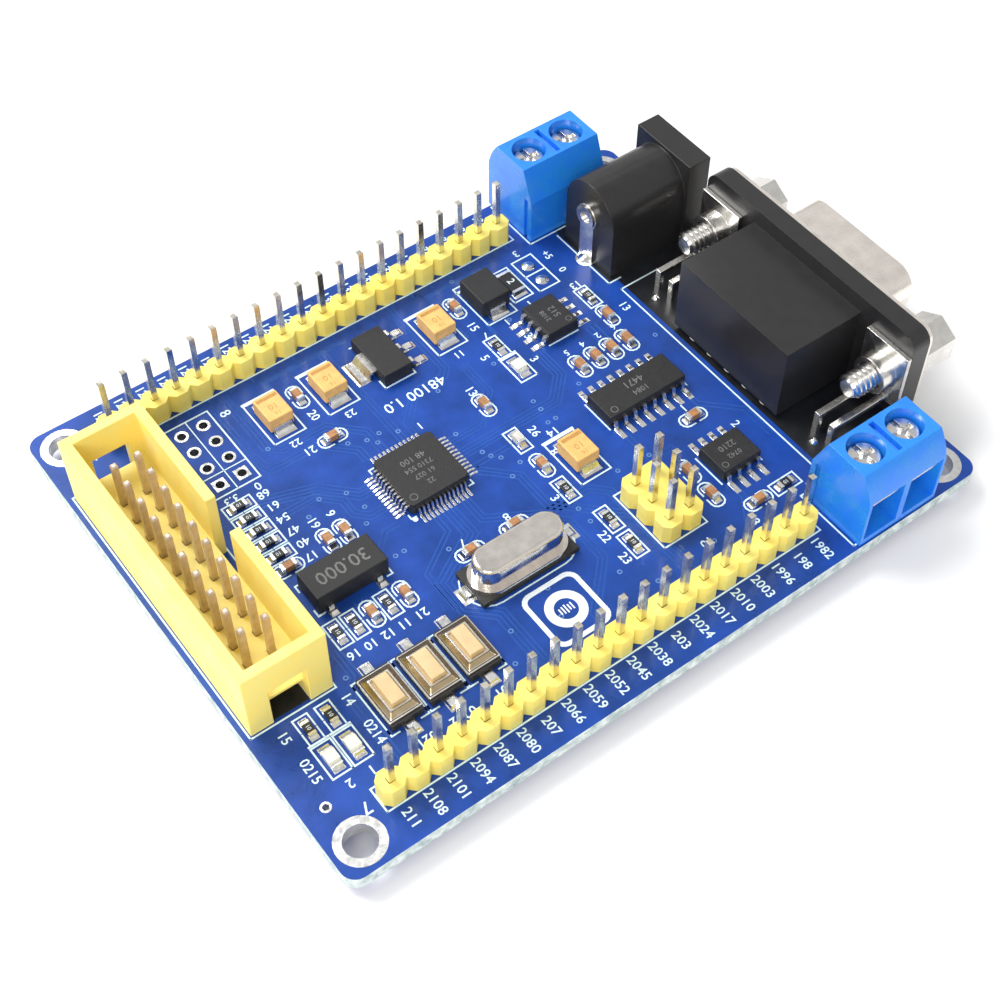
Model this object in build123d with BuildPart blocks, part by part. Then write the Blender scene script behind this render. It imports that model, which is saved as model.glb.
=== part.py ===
"""Microcontroller development board: a bare printed circuit board with two long pin headers,
a shrouded debug header, two screw terminals, a power jack and a nine-way D-sub socket.

Millimetres.  +X runs along the board towards the power jack and the D-sub, +Y runs across it,
+Z is up.  The origin is the centre of the four mounting holes on the board's underside.
"""

from build123d import *
import math
import os

os.makedirs("parts", exist_ok=True)

# ------------------------------------------------------------------ circuit board
board_length = 75.5
board_width = 59.9
board_thickness = 1.6
board_corner = 1.6
mount_hole_radius = 1.6
mount_hole_inset = 3.0
tooling_hole_radius = 0.3
tail_drop = 1.4                 # how far every soldered tail stands below the board
seat_gap = 0.03                 # clearance of a pin or a blade in its plastic
solder_width = 0.28             # width of the solder ring round a tail
solder_rise = 0.8

# ------------------------------------------------------------------ pin headers
pitch = 2.54
pin_width = 0.64
pin_rise = 8.3                  # pin tips above the board
pin_point = 0.14
pin_hole_clearance = 0.06
header_pins = 20
header_row_inset = 4.95         # board edge to a row of pins, apart from the shift
header_first_pin_x = -29.97
header_rows_shift = 0.28        # the two rows sit this far towards +Y
housing_width = 2.5
housing_height = 2.5
housing_notch = 0.62

small_header_x = 8.77
small_header_y = -14.80

spare_header_x = -23.26         # eight empty holes, two columns of four
spare_header_y = 17.33
power_holes_x = 18.50           # two holes that are filled with solder
power_holes_y = 18.38

# ------------------------------------------------------------------ shrouded header
shroud_length = 33.2
shroud_width = 8.8
shroud_height = 8.9
shroud_wall = 1.1
shroud_floor = 2.4
shroud_edge_gap = 0.78          # board edge to shroud
shroud_y = 3.90
shroud_key_width = 4.25
shroud_end_slot_width = 3.9
shroud_end_slot_height = 5.2
shroud_end_pocket = 2.6         # how far the hollow under the floor reaches in from each end wall
shroud_floor_skin = 0.4
box_pins_long = 10

# ------------------------------------------------------------------ flat chip packages
quad_x, quad_y = -7.9, 2.45
quad_size = 7.0
quad_height = 1.4
quad_span = 9.0
quad_pitch = 0.5
quad_side_leads = 12
quad_lead_width = 0.22
quad_lead_thickness = 0.13
quad_standoff = 0.1

soic_width = 3.9
soic_height = 1.5
soic_standoff = 0.12
soic_span = 6.0
soic_pitch = 1.27
soic_lead_width = 0.42
soic_lead_thickness = 0.2
soic_end_margin = 0.5           # body beyond its last lead
line_driver_leads_each_side = 8
small_chip_leads_each_side = 4
line_driver_place = (16.15, -1.95, 0)
small_chip_places = ((15.1, 11.35, 90), (18.3, -14.1, 0))

# ------------------------------------------------------------------ regulator, diode, fuse
regulator_x, regulator_y = -2.3, 17.65
regulator_width = 3.5
regulator_length = 6.5
regulator_height = 1.6
regulator_span = 7.2
regulator_pitch = 2.3
regulator_lead_width = 0.75
regulator_tab_width = 3.0
regulator_lead_thickness = 0.28

diode_x, diode_y = 11.6, 18.3
diode_width = 3.6
diode_length = 4.4
diode_height = 2.3
diode_lead_width = 2.0
diode_lead_thickness = 0.22

fuse_place = (15.2, 18.45, 90)
fuse_length = 3.2
fuse_width = 1.6
fuse_height = 0.6

# ------------------------------------------------------------------ crystals
crystal_x, crystal_y = -6.5, -11.75
crystal_base_length = 11.4
crystal_base_width = 4.7
crystal_base_height = 0.7
crystal_rim_length = 11.0
crystal_rim_width = 4.5
crystal_rim_height = 0.5
crystal_can_length = 10.1
crystal_can_width = 3.5
crystal_top = 3.85
crystal_can_round = 0.45
crystal_lead_width = 0.75
crystal_lead_span = 12.9

clock_x, clock_y = -20.95, -3.4
clock_length = 8.0
clock_width = 3.8
clock_height = 2.4
clock_lead_spacing = 5.5
clock_lead_width = 0.55
clock_lead_reach = 0.65

# ------------------------------------------------------------------ small passives
tantalum_places = ((-15.6, 17.7), (-9.0, 17.7), (4.75, 17.7), (6.25, -4.8))
tantalum_length = 3.5
tantalum_width = 2.8
tantalum_height = 2.0
tantalum_lead_width = 2.2
tantalum_lead_thickness = 0.16
tantalum_lead_height = 0.95

chip_length = 1.6
chip_width = 0.82
chip_cap_length = 0.3
resistor_height = 0.45
capacitor_height = 0.8
resistor_column_x = -24.45
resistor_column_top = 10.0
resistor_column_step = 1.83
chip_row_y = -8.2
resistor_places = (
    [(resistor_column_x, resistor_column_top - resistor_column_step * k, 0) for k in range(5)]
    + [(x, chip_row_y, 90) for x in (-24.78, -22.88, -19.10)]
    + [(x, -15.15, 90) for x in (-32.45, -30.10)]
    + [(3.9, y, 90) for y in (-12.8, -16.5)]
    + [(2.72, -7.4, 90), (8.6, 11.9, 90), (20.9, 12.05, 90), (20.75, -19.8, 0)]
)
capacitor_places = (
    [(resistor_column_x, resistor_column_top - resistor_column_step * 5, 0)]
    + [(x, chip_row_y, 90) for x in (-20.93, -17.15)]
    + [(x, 4.6, 90) for x in (14.0, 16.1, 18.2, 20.3)]
    + [(-19.65, 1.32, 90), (-17.7, 1.32, 90), (-12.2, 18.65, 90), (8.2, 19.2, 90)]
    + [(-12.25, 11.9, 0), (2.7, 6.28, 90), (2.72, -3.55, 90)]
    + [(-9.3, -7.9, 0), (-4.0, -7.9, 0), (19.0, -7.75, 0), (17.2, -19.8, 0)]
    + [(13.95, -12.85, 90), (13.95, -16.45, 90), (20.9, 8.6, 90)]
)
bead_place = (2.68, 0.45, 90)

led_places = ((-32.4, -18.8, 90), (-30.1, -18.8, 90), (8.7, 8.3, 90))
led_length = 2.0
led_width = 1.25
led_height = 0.75
led_cap_length = 0.35

# ------------------------------------------------------------------ push buttons
switch_x = (-24.80, -20.45, -16.15)
switch_y = -16.85
switch_base_length = 6.0
switch_base_width = 3.5
switch_base_height = 0.9
switch_pocket_length = 4.3
switch_pocket_width = 2.4
switch_pocket_floor = 0.3
frame_length = 5.45
frame_width = 3.65
frame_sheet = 0.15
frame_rim_height = 1.1
frame_crown_height = 1.6
frame_crown_length = 4.1
frame_crown_width = 2.5
frame_slope = 0.35
plunger_length = 3.3
plunger_width = 1.5
plunger_top = 2.1
plunger_side_gap = 0.08
plunger_flange = 0.2            # how far the hidden flange is wider than the stem, each side
plunger_flange_height = 0.35
plunger_travel = 0.25
dome_radius = 1.05
dome_sheet = 0.08
dome_rise = 0.2
switch_lead_width = 0.75
switch_lead_reach = 1.45
switch_lead_thickness = 0.18

# ------------------------------------------------------------------ screw terminals
terminal_pitch = 5.08
terminal_poles = 2
terminal_depth = 7.9
terminal_height = 9.4
terminal_back_shoulder = 5.6
terminal_back_inset = 1.5
terminal_front_shoulder = 6.1
terminal_front_inset = 1.55
terminal_front_x = 26.37        # centre of the terminal at the -Y edge
terminal_back_x = 26.07         # centre of the terminal at the +Y edge
terminal_front_margin = 0.15    # board edge to the wire face at the -Y edge
terminal_back_margin = -0.45    # the other one overhangs its edge
wire_cavity_width = 4.25
wire_cavity_floor = 0.8
wire_cavity_back = 1.25
screw_axis_depth = 3.9          # from the terminal's back face
screw_radius = 1.7
screw_nut_hold = 0.2            # thread left in the nut with the clamp right down
screw_length = 2.8
screw_slot_width = 0.55
screw_slot_depth = 0.6
screw_bore_gap = 0.18
screw_thread_gap = 0.05
cage_wall = 0.5
cage_lip = 0.4                  # hem along the front edge of the nut plate
cage_strip = 0.2                # contact strip on the floor of the wire cavity
cage_nut_height = 5.5
cage_nut_thickness = 0.8
cage_side_gap = 0.2
cage_front_inset = 0.5
leaf_thickness = 0.35
leaf_width = 3.5
leaf_back_gap = 0.3
leaf_length = 4.6
clamp_travel = 2.6
screw_top = cage_nut_height + clamp_travel + screw_nut_hold
terminal_groove_depth_in = 0.95
terminal_groove_width = 0.55
terminal_groove_depth = 0.35
divider_slot_width = 0.65
divider_slot_length = 4.0
divider_slot_depth = 0.8
terminal_pin_width = 1.0
terminal_pin_thickness = 0.7

# ------------------------------------------------------------------ power jack
jack_terminal_gap = 1.25       # jack's side tab to the back face of the terminal beside it
jack_face_inset = 0.35          # board edge to the jack's mouth
jack_flange_depth = 2.9
jack_flange_width = 8.8
jack_flange_height = 10.9
jack_barrel_radius = 4.05
jack_barrel_length = 9.9
jack_axis_height = 6.4
jack_bore_radius = 3.15
jack_bore_depth = 9.4
jack_pin_radius = 1.0
jack_pin_recess = 0.8
jack_tab_width = 2.2
jack_tab_foot = 1.6
jack_tab_thickness = 0.35
jack_rivet_radius = 1.4
jack_rivet_thickness = 0.35
jack_slot_width = 2.6
jack_slot_length = 7.0
jack_leaf_width = 2.0
jack_leaf_thickness = 0.3
jack_leaf_root_x = -7.2         # from the mouth
jack_leaf_root_height = 1.3
jack_leaf_bump_x = -4.2
jack_leaf_bump = 0.45           # how far the leaf stands into the bore
jack_leaf_tip_x = -2.3
jack_leaf_tip_drop = 0.7

# ------------------------------------------------------------------ D-sub socket
dsub_y = -4.94
dsub_face_inset = 0.15          # board edge to the front of the plastic flange
dsub_flange_depth = 2.2
dsub_flange_width = 30.8
dsub_flange_height = 11.6
dsub_flange_corner = 1.6
dsub_axis_height = 5.8
dsub_hood_width = 16.1
dsub_hood_height = 9.7
dsub_hood_depth = 9.85
dsub_hood_wall = 0.7
dsub_hood_gap = 0.6             # under the hood, over the board
dsub_sheet = 0.5
dsub_shell_width = 16.7
dsub_shell_height = 8.2
dsub_shell_corner = 2.5
dsub_shell_reach = 5.4
dsub_side_angle = 10.0
dsub_nose_recess = 0.5
dsub_contact_pitch = 2.77
dsub_row_offset = 1.42
dsub_contact_radius = 0.75
dsub_contact_bore = 0.5
dsub_contact_bore_depth = 3.5
dsub_wire = 0.6
dsub_rear_row = 8.75             # hood side of the flange to the rear row of tails
dsub_row_step = 2.84
dsub_screw_spacing = 25.0
dsub_screw_radius = 1.42
dsub_screw_gap = 0.06
dsub_screw_reach = 5.3          # thread that stands out behind the flange
standoff_across_flats = 4.75
standoff_length = 4.8
standoff_hole_radius = 1.2
standoff_hole_depth = 4.4
bracket_width = 5.8
bracket_sheet = 0.6
bracket_top = 9.0
bracket_foot_height = 2.4
bracket_boss_radius = 2.1
bracket_boss_length = 1.75
prong_width = 0.75
prong_spacing = 2.1
board_lock_back = 7.4           # hood side of the flange to the board-lock hole
board_lock_radius = 1.65

# ------------------------------------------------------------------ places worked out
board_top = board_thickness
edge_x = board_length / 2
edge_y = board_width / 2
tail_bottom = -tail_drop
on_board = (Align.CENTER, Align.CENTER, Align.MIN)

pin_hole_radius = pin_width / math.sqrt(2) + pin_hole_clearance
header_centre_x = header_first_pin_x + pitch * (header_pins - 1) / 2
header_row_y = [header_rows_shift + side * (board_width / 2 - header_row_inset) for side in (-1, 1)]
shroud_x = -edge_x + shroud_edge_gap + shroud_width / 2

terminal_width = terminal_pitch * terminal_poles
# each terminal: centre x, y of its back face, and which way its wire face looks
terminals = (
    (terminal_back_x, edge_y - terminal_back_margin - terminal_depth, 1),
    (terminal_front_x, -edge_y + terminal_front_margin + terminal_depth, -1),
)
screw_axes = [
    (centre_x + (pole - (terminal_poles - 1) / 2) * terminal_pitch,
     back_y + outward * screw_axis_depth, outward)
    for centre_x, back_y, outward in terminals
    for pole in range(terminal_poles)
]

jack_face_x = edge_x - jack_face_inset
jack_y = (terminals[0][1] - jack_terminal_gap - jack_tab_thickness
          - jack_barrel_radius)
jack_flange_back_x = jack_face_x - jack_flange_depth
jack_back_x = jack_flange_back_x - jack_barrel_length
jack_axis_z = board_top + jack_axis_height
jack_tab_x = jack_back_x - jack_tab_thickness / 2
jack_anchor_x = jack_face_x + jack_leaf_root_x
jack_side_x = jack_back_x + 2.9
jack_side_y = jack_y + jack_barrel_radius + jack_tab_thickness / 2
jack_tab_hole_radius = jack_tab_foot / 2 + 0.12

dsub_front_x = edge_x - dsub_face_inset
dsub_rear_x = dsub_front_x - dsub_flange_depth
dsub_axis_z = board_top + dsub_axis_height
dsub_shell_x = dsub_front_x + dsub_sheet
dsub_rear_row_x = dsub_rear_x - dsub_rear_row
dsub_contacts_at = [
    (dsub_y + (k - 2) * dsub_contact_pitch, dsub_axis_z + dsub_row_offset, dsub_rear_row_x)
    for k in range(5)
] + [
    (dsub_y + (k - 1.5) * dsub_contact_pitch, dsub_axis_z - dsub_row_offset,
     dsub_rear_row_x + dsub_row_step)
    for k in range(4)
]
dsub_screw_y = [dsub_y + side * dsub_screw_spacing / 2 for side in (-1, 1)]
board_lock_x = dsub_rear_x - board_lock_back
dsub_wire_hole_radius = dsub_wire / math.sqrt(2) + 0.15
terminal_pin_hole_radius = math.hypot(terminal_pin_width, terminal_pin_thickness) / 2 + 0.1

box_pin_places = [
    (shroud_x + (column - 0.5) * pitch, shroud_y + (row - (box_pins_long - 1) / 2) * pitch)
    for column in range(2)
    for row in range(box_pins_long)
]
small_header_places = [
    (small_header_x + (column - 0.5) * pitch, small_header_y + (row - 1) * pitch)
    for column in range(2)
    for row in range(3)
]
header_pin_places = [
    (header_first_pin_x + k * pitch, y) for y in header_row_y for k in range(header_pins)
]
square_pin_places = header_pin_places + box_pin_places + small_header_places
spare_hole_places = [
    (spare_header_x + (column - 0.5) * pitch, spare_header_y + (row - 1.5) * pitch)
    for column in range(2)
    for row in range(4)
]
power_hole_places = [(power_holes_x, power_holes_y + side * pitch / 2) for side in (-1, 1)]
terminal_pin_places = [(x, y) for x, y, outward in screw_axes]
jack_tab_places = [(jack_tab_x, jack_y), (jack_anchor_x, jack_y), (jack_side_x, jack_side_y)]
dsub_tail_places = [(x, y) for y, z, x in dsub_contacts_at]
board_lock_places = [(board_lock_x, y) for y in dsub_screw_y]
mount_places = [
    (sx * (edge_x - mount_hole_inset), sy * (edge_y - mount_hole_inset))
    for sx in (-1, 1)
    for sy in (-1, 1)
]


def save(piece, name):
    """Label a finished piece and write it."""
    piece.part.label = name
    export_step(piece.part, f"parts/{name}.step")


def chamfered_cell(size_x, size_y, cut):
    """Corner points of a rectangle whose corners are cut off."""
    hx, hy = size_x / 2, size_y / 2
    return [(hx, hy - cut), (hx - cut, hy), (cut - hx, hy), (-hx, hy - cut),
            (-hx, cut - hy), (cut - hx, -hy), (hx - cut, -hy), (hx, cut - hy)]


def gull_wing(body_half, span_half, exit_height, thickness, foot):
    """Side outline of a lead that leaves a body, steps down and ends in a flat foot."""
    bend = span_half - foot
    shoulder = body_half + (bend - body_half) * 0.45
    top = exit_height + thickness / 2
    under = exit_height - thickness / 2
    return [(body_half, top), (shoulder + thickness * 0.4, top), (bend + thickness * 0.4, thickness),
            (span_half, thickness), (span_half, 0), (bend - thickness * 0.4, 0),
            (shoulder - thickness * 0.4, under), (body_half, under)]


def lead_planes(places, angles, offsets):
    """Planes whose X axis points out of a package's side and whose Y axis points up."""
    planes = []
    for x, y, turn in places:
        for angle in angles:
            out = math.radians(angle + turn)
            for offset in offsets:
                origin = (x - math.sin(out) * offset, y + math.cos(out) * offset, board_top)
                planes.append(Plane(origin=origin, x_dir=(math.cos(out), math.sin(out), 0),
                                    z_dir=(math.sin(out), -math.cos(out), 0)))
    return planes


def centred(count, step):
    """Offsets of count things, step apart, about zero."""
    return [(k - (count - 1) / 2) * step for k in range(count)]


def turned(place, dx=0.0, dy=0.0, dz=0.0):
    """A location on the board for a part at (x, y, turn), moved in the part's own axes."""
    x, y, turn = place
    return Location((x, y, board_top), (0, 0, turn)) * Location((dx, dy, dz))


# ================================================================== circuit board
with BuildPart() as circuit_board:
    with BuildSketch():
        RectangleRounded(board_length, board_width, board_corner)
    extrude(amount=board_thickness)
    for places, radius in (
        (mount_places, mount_hole_radius),
        (square_pin_places + spare_hole_places + power_hole_places, pin_hole_radius),
        (terminal_pin_places, terminal_pin_hole_radius),
        (jack_tab_places, jack_tab_hole_radius),
        (dsub_tail_places, dsub_wire_hole_radius),
        (board_lock_places, board_lock_radius),
        ([(-edge_x + 2.35, -edge_y + 7.45)], tooling_hole_radius),
    ):
        with BuildSketch():
            with Locations(*places):
                Circle(radius)
        extrude(amount=board_thickness, mode=Mode.SUBTRACT)
save(circuit_board, "circuit_board")


# ================================================================== pin headers
def square_pins(places, top):
    """Square pins with pointed tips, from below the board to the height given."""
    with BuildPart() as pins:
        with BuildSketch(Plane.XY.offset(tail_bottom)):
            with Locations(*places):
                Rectangle(pin_width, pin_width)
        extrude(amount=board_top + top - tail_bottom)
        chamfer(pins.edges().group_by(Axis.Z)[-1], length=pin_point)
    return pins


def pin_housing(places, cell_x, cell_y):
    """A strip of cut-cornered cells with a square hole for each pin."""
    with BuildPart() as housing:
        with BuildSketch(Plane.XY.offset(board_top)):
            with Locations(*places):
                Polygon(*chamfered_cell(cell_x, cell_y, housing_notch))
            with Locations(*places):
                Rectangle(pin_width + 2 * seat_gap, pin_width + 2 * seat_gap, mode=Mode.SUBTRACT)
        extrude(amount=housing_height)
    return housing


side_header_housings = pin_housing(header_pin_places, pitch, housing_width)
save(side_header_housings, "side_header_housings")
side_header_pins = square_pins(header_pin_places, pin_rise)
save(side_header_pins, "side_header_pins")
small_header_housing = pin_housing(small_header_places, pitch, pitch)
save(small_header_housing, "small_header_housing")
small_header_pins = square_pins(small_header_places, pin_rise)
save(small_header_pins, "small_header_pins")
box_header_pins = square_pins(box_pin_places, pin_rise)
save(box_header_pins, "box_header_pins")

with BuildPart() as box_header_shroud:
    with BuildSketch(Plane.XY.offset(board_top)):
        with Locations((shroud_x, shroud_y)):
            Rectangle(shroud_width, shroud_length)
    extrude(amount=shroud_height)
    with BuildSketch(Plane.XY.offset(board_top + shroud_floor)):
        with Locations((shroud_x, shroud_y)):
            Rectangle(shroud_width - 2 * shroud_wall, shroud_length - 2 * shroud_wall)
    extrude(amount=shroud_height, mode=Mode.SUBTRACT)
    with BuildSketch(Plane.XY.offset(board_top)):
        with Locations(*box_pin_places):
            Rectangle(pin_width + 2 * seat_gap, pin_width + 2 * seat_gap)
    extrude(amount=shroud_floor, mode=Mode.SUBTRACT)
    # key slot in the wall that looks along +X, over its whole height
    with Locations((shroud_x + (shroud_width - shroud_wall) / 2, shroud_y, board_top)):
        Box(shroud_wall, shroud_key_width, shroud_height, align=on_board, mode=Mode.SUBTRACT)
    # slots through the foot of both end walls
    with Locations(*[(shroud_x, shroud_y + side * (shroud_length - shroud_wall) / 2, board_top)
                     for side in (-1, 1)]):
        Box(shroud_end_slot_width, shroud_wall, shroud_end_slot_height,
            align=on_board, mode=Mode.SUBTRACT)
    # hollows under the floor, behind the end slots
    with Locations(*[(shroud_x,
                      shroud_y + side * (shroud_length / 2 - shroud_wall - shroud_end_pocket / 2),
                      board_top) for side in (-1, 1)]):
        Box(shroud_end_slot_width, shroud_end_pocket, shroud_floor - shroud_floor_skin,
            align=on_board, mode=Mode.SUBTRACT)
save(box_header_shroud, "box_header_shroud")


# ================================================================== flat chip packages
with BuildPart() as microcontroller_body:
    with BuildSketch(Plane.XY.offset(board_top + quad_standoff)):
        with Locations((quad_x, quad_y)):
            Rectangle(quad_size, quad_size)
    extrude(amount=quad_height)
    chamfer(microcontroller_body.edges().filter_by(Axis.Z), length=0.35)
save(microcontroller_body, "microcontroller_body")

with BuildPart() as microcontroller_leads:
    with BuildSketch(*lead_planes([(quad_x, quad_y, 0)], (0, 90, 180, 270),
                                  centred(quad_side_leads, quad_pitch))):
        Polygon(*gull_wing(quad_size / 2, quad_span / 2, quad_standoff + quad_height / 2,
                           quad_lead_thickness, 0.55), align=None)
    extrude(amount=quad_lead_width / 2, both=True)
save(microcontroller_leads, "microcontroller_leads")


def soic_body(places, leads_each_side):
    """Plastic bodies of small-outline chips, long side along each place's X axis."""
    length = (leads_each_side - 1) * soic_pitch + 2 * soic_end_margin
    with BuildPart() as body:
        with Locations(*[turned(place, dz=soic_standoff) for place in places]):
            Box(length, soic_width, soic_height, align=on_board)
    return body


def soic_leads(places, leads_each_side):
    """Gull-wing leads on both long sides of small-outline chips."""
    with BuildPart() as leads:
        with BuildSketch(*lead_planes(places, (90, 270), centred(leads_each_side, soic_pitch))):
            Polygon(*gull_wing(soic_width / 2, soic_span / 2, soic_standoff + soic_height / 2,
                               soic_lead_thickness, 0.65), align=None)
        extrude(amount=soic_lead_width / 2, both=True)
    return leads


line_driver_body = soic_body([line_driver_place], line_driver_leads_each_side)
save(line_driver_body, "line_driver_body")
line_driver_leads = soic_leads([line_driver_place], line_driver_leads_each_side)
save(line_driver_leads, "line_driver_leads")
small_chip_bodies = soic_body(small_chip_places, small_chip_leads_each_side)
save(small_chip_bodies, "small_chip_bodies")
small_chip_leads = soic_leads(small_chip_places, small_chip_leads_each_side)
save(small_chip_leads, "small_chip_leads")


# ================================================================== regulator, diode, fuse
regulator_place = (regulator_x, regulator_y, 0)
with BuildPart() as regulator_body:
    with Locations(turned(regulator_place)):
        Box(regulator_width, regulator_length, regulator_height, align=on_board)
save(regulator_body, "regulator_body")

regulator_outline = gull_wing(regulator_width / 2, regulator_span / 2, regulator_height / 2,
                              regulator_lead_thickness, 0.9)
with BuildPart() as regulator_leads:
    with BuildSketch(*lead_planes([regulator_place], (0,), centred(3, regulator_pitch))):
        Polygon(*regulator_outline, align=None)
    extrude(amount=regulator_lead_width / 2, both=True)
    with BuildSketch(*lead_planes([regulator_place], (180,), (0,))):
        Polygon(*regulator_outline, align=None)
    extrude(amount=regulator_tab_width / 2, both=True)
save(regulator_leads, "regulator_leads")

with BuildPart() as diode_body:
    with Locations((diode_x, diode_y, board_top + diode_lead_thickness)):
        Box(diode_width, diode_length, diode_height - diode_lead_thickness, align=on_board)
save(diode_body, "diode_body")


def wrapped_leads(places, body_length, lead_width, thickness, height, tuck):
    """Strips that run down both ends of a moulded body and fold in under it."""
    half = body_length / 2
    outline = [(half, height), (half + thickness, height), (half + thickness, 0),
               (half - tuck, 0), (half - tuck, thickness), (half, thickness)]
    with BuildPart() as leads:
        with BuildSketch(*lead_planes(places, (90, 270), (0,))):
            Polygon(*outline, align=None)
        extrude(amount=lead_width / 2, both=True)
    return leads


diode_leads = wrapped_leads([(diode_x, diode_y, 0)], diode_length, diode_lead_width,
                            diode_lead_thickness, diode_height / 2, 1.1)
save(diode_leads, "diode_leads")

with BuildPart() as fuse_body:
    with Locations(turned(fuse_place)):
        Box(fuse_length - 2 * chip_cap_length, fuse_width, fuse_height, align=on_board)
save(fuse_body, "fuse_body")

# ================================================================== crystals
crystal_rim_z = board_top + crystal_base_height
with BuildPart() as crystal_base:
    with Locations((crystal_x, crystal_y, board_top)):
        Box(crystal_base_length, crystal_base_width, crystal_base_height, align=on_board)
        with Locations(*[(side * (crystal_base_length + crystal_rim_length) / 4, 0, 0)
                         for side in (-1, 1)]):
            Box(crystal_base_length, crystal_lead_width + 2 * seat_gap, 0.25 + seat_gap,
                align=on_board, mode=Mode.SUBTRACT)
save(crystal_base, "crystal_base")

with BuildPart() as crystal_leads:
    with Locations(*[(crystal_x + side * (crystal_lead_span / 2 - 1.6), crystal_y, board_top)
                     for side in (-1, 1)]):
        Box(3.2, crystal_lead_width, 0.25, align=on_board)
save(crystal_leads, "crystal_leads")

with BuildPart() as crystal_can:
    with BuildSketch(Plane.XY.offset(crystal_rim_z)):
        with Locations((crystal_x, crystal_y)):
            SlotOverall(crystal_rim_length, crystal_rim_width)
    extrude(amount=crystal_rim_height)
    with BuildSketch(Plane.XY.offset(crystal_rim_z + crystal_rim_height)):
        with Locations((crystal_x, crystal_y)):
            SlotOverall(crystal_can_length, crystal_can_width)
    extrude(amount=board_top + crystal_top - crystal_rim_z - crystal_rim_height)
    fillet(crystal_can.edges().group_by(Axis.Z)[-1], radius=crystal_can_round)
save(crystal_can, "crystal_can")

with BuildPart() as clock_crystal_body:
    with Locations((clock_x, clock_y, board_top)):
        Box(clock_length, clock_width, clock_height, align=on_board)
save(clock_crystal_body, "clock_crystal_body")

with BuildPart() as clock_crystal_leads:
    with BuildSketch(*lead_planes([(clock_x, clock_y, 0)], (90, 270),
                                  centred(2, clock_lead_spacing))):
        Polygon(*gull_wing(clock_width / 2, clock_width / 2 + clock_lead_reach, 0.55, 0.2, 0.35),
                align=None)
    extrude(amount=clock_lead_width / 2, both=True)
save(clock_crystal_leads, "clock_crystal_leads")

# ================================================================== small passives
with BuildPart() as tantalum_bodies:
    with Locations(*[(x, y, board_top + tantalum_lead_thickness) for x, y in tantalum_places]):
        Box(tantalum_width, tantalum_length, tantalum_height - tantalum_lead_thickness,
            align=on_board)
save(tantalum_bodies, "tantalum_bodies")

tantalum_leads = wrapped_leads([(x, y, 0) for x, y in tantalum_places], tantalum_length,
                               tantalum_lead_width, tantalum_lead_thickness,
                               tantalum_lead_height, 0.8)
save(tantalum_leads, "tantalum_leads")

chip_core = chip_length - 2 * chip_cap_length
with BuildPart() as resistor_bodies:
    with Locations(*[turned(place) for place in resistor_places]):
        Box(chip_core, chip_width, resistor_height, align=on_board)
save(resistor_bodies, "resistor_bodies")

with BuildPart() as capacitor_bodies:
    with Locations(*[turned(place) for place in capacitor_places]):
        Box(chip_core, chip_width, capacitor_height, align=on_board)
save(capacitor_bodies, "capacitor_bodies")

with BuildPart() as ferrite_bead:
    with Locations(turned(bead_place)):
        Box(chip_core, chip_width, capacitor_height, align=on_board)
save(ferrite_bead, "ferrite_bead")

with BuildPart() as chip_end_caps:
    for places, length, width, height in (
        (resistor_places, chip_length, chip_width, resistor_height),
        (capacitor_places + [bead_place], chip_length, chip_width, capacitor_height),
        ([fuse_place], fuse_length, fuse_width, fuse_height),
    ):
        with Locations(*[turned(place, dx=side * (length - chip_cap_length) / 2)
                         for place in places for side in (-1, 1)]):
            Box(chip_cap_length, width, height, align=on_board)
save(chip_end_caps, "chip_end_caps")

led_core = led_length - 2 * led_cap_length
with BuildPart() as led_bodies:
    with Locations(*[turned(place) for place in led_places]):
        Box(led_core, led_width, led_height, align=on_board)
save(led_bodies, "led_bodies")

with BuildPart() as led_end_caps:
    with Locations(*[turned(place, dx=side * (led_length - led_cap_length) / 2)
                     for place in led_places for side in (-1, 1)]):
        Box(led_cap_length, led_width, led_height * 0.45, align=on_board)
save(led_end_caps, "led_end_caps")

# ================================================================== push buttons
switch_places = [(x, switch_y) for x in switch_x]
plunger_flange_top = frame_crown_height - frame_sheet - 0.05
plunger_flange_bottom = plunger_flange_top - plunger_flange_height

with BuildPart() as switch_bases:
    with BuildSketch(Plane.XY.offset(board_top)):
        with Locations(*switch_places):
            Rectangle(switch_base_width, switch_base_length)
    extrude(amount=switch_base_height)
    with BuildSketch(Plane.XY.offset(board_top + switch_pocket_floor)):
        with Locations(*switch_places):
            Rectangle(switch_pocket_width, switch_pocket_length)
    extrude(amount=switch_base_height, mode=Mode.SUBTRACT)
    # seats of the terminals in both ends
    with Locations(*[(x, y + side * switch_base_length / 2, board_top)
                     for x, y in switch_places for side in (-1, 1)]):
        Box(switch_lead_width + 2 * seat_gap, 0.8, 0.1 + switch_lead_thickness + seat_gap,
            align=on_board, mode=Mode.SUBTRACT)
save(switch_bases, "switch_bases")

with BuildPart() as switch_leads:
    with Locations(*[(x, y + side * (switch_base_length / 2 - 0.4 + (switch_lead_reach + 0.4) / 2),
                      board_top)
                     for x, y in switch_places for side in (-1, 1)]):
        Box(switch_lead_width, switch_lead_reach + 0.4, switch_lead_thickness, align=on_board)
save(switch_leads, "switch_leads")

with BuildPart() as switch_domes:
    with Locations(*[(x, y, board_top + switch_pocket_floor) for x, y in switch_places]):
        Cylinder(dome_radius, dome_sheet, align=on_board)
    with Locations(*[(x, y, board_top + switch_pocket_floor + dome_sheet)
                     for x, y in switch_places]):
        Cone(bottom_radius=dome_radius, top_radius=dome_radius * 0.35, height=dome_rise,
             align=on_board)
save(switch_domes, "switch_domes")

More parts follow.
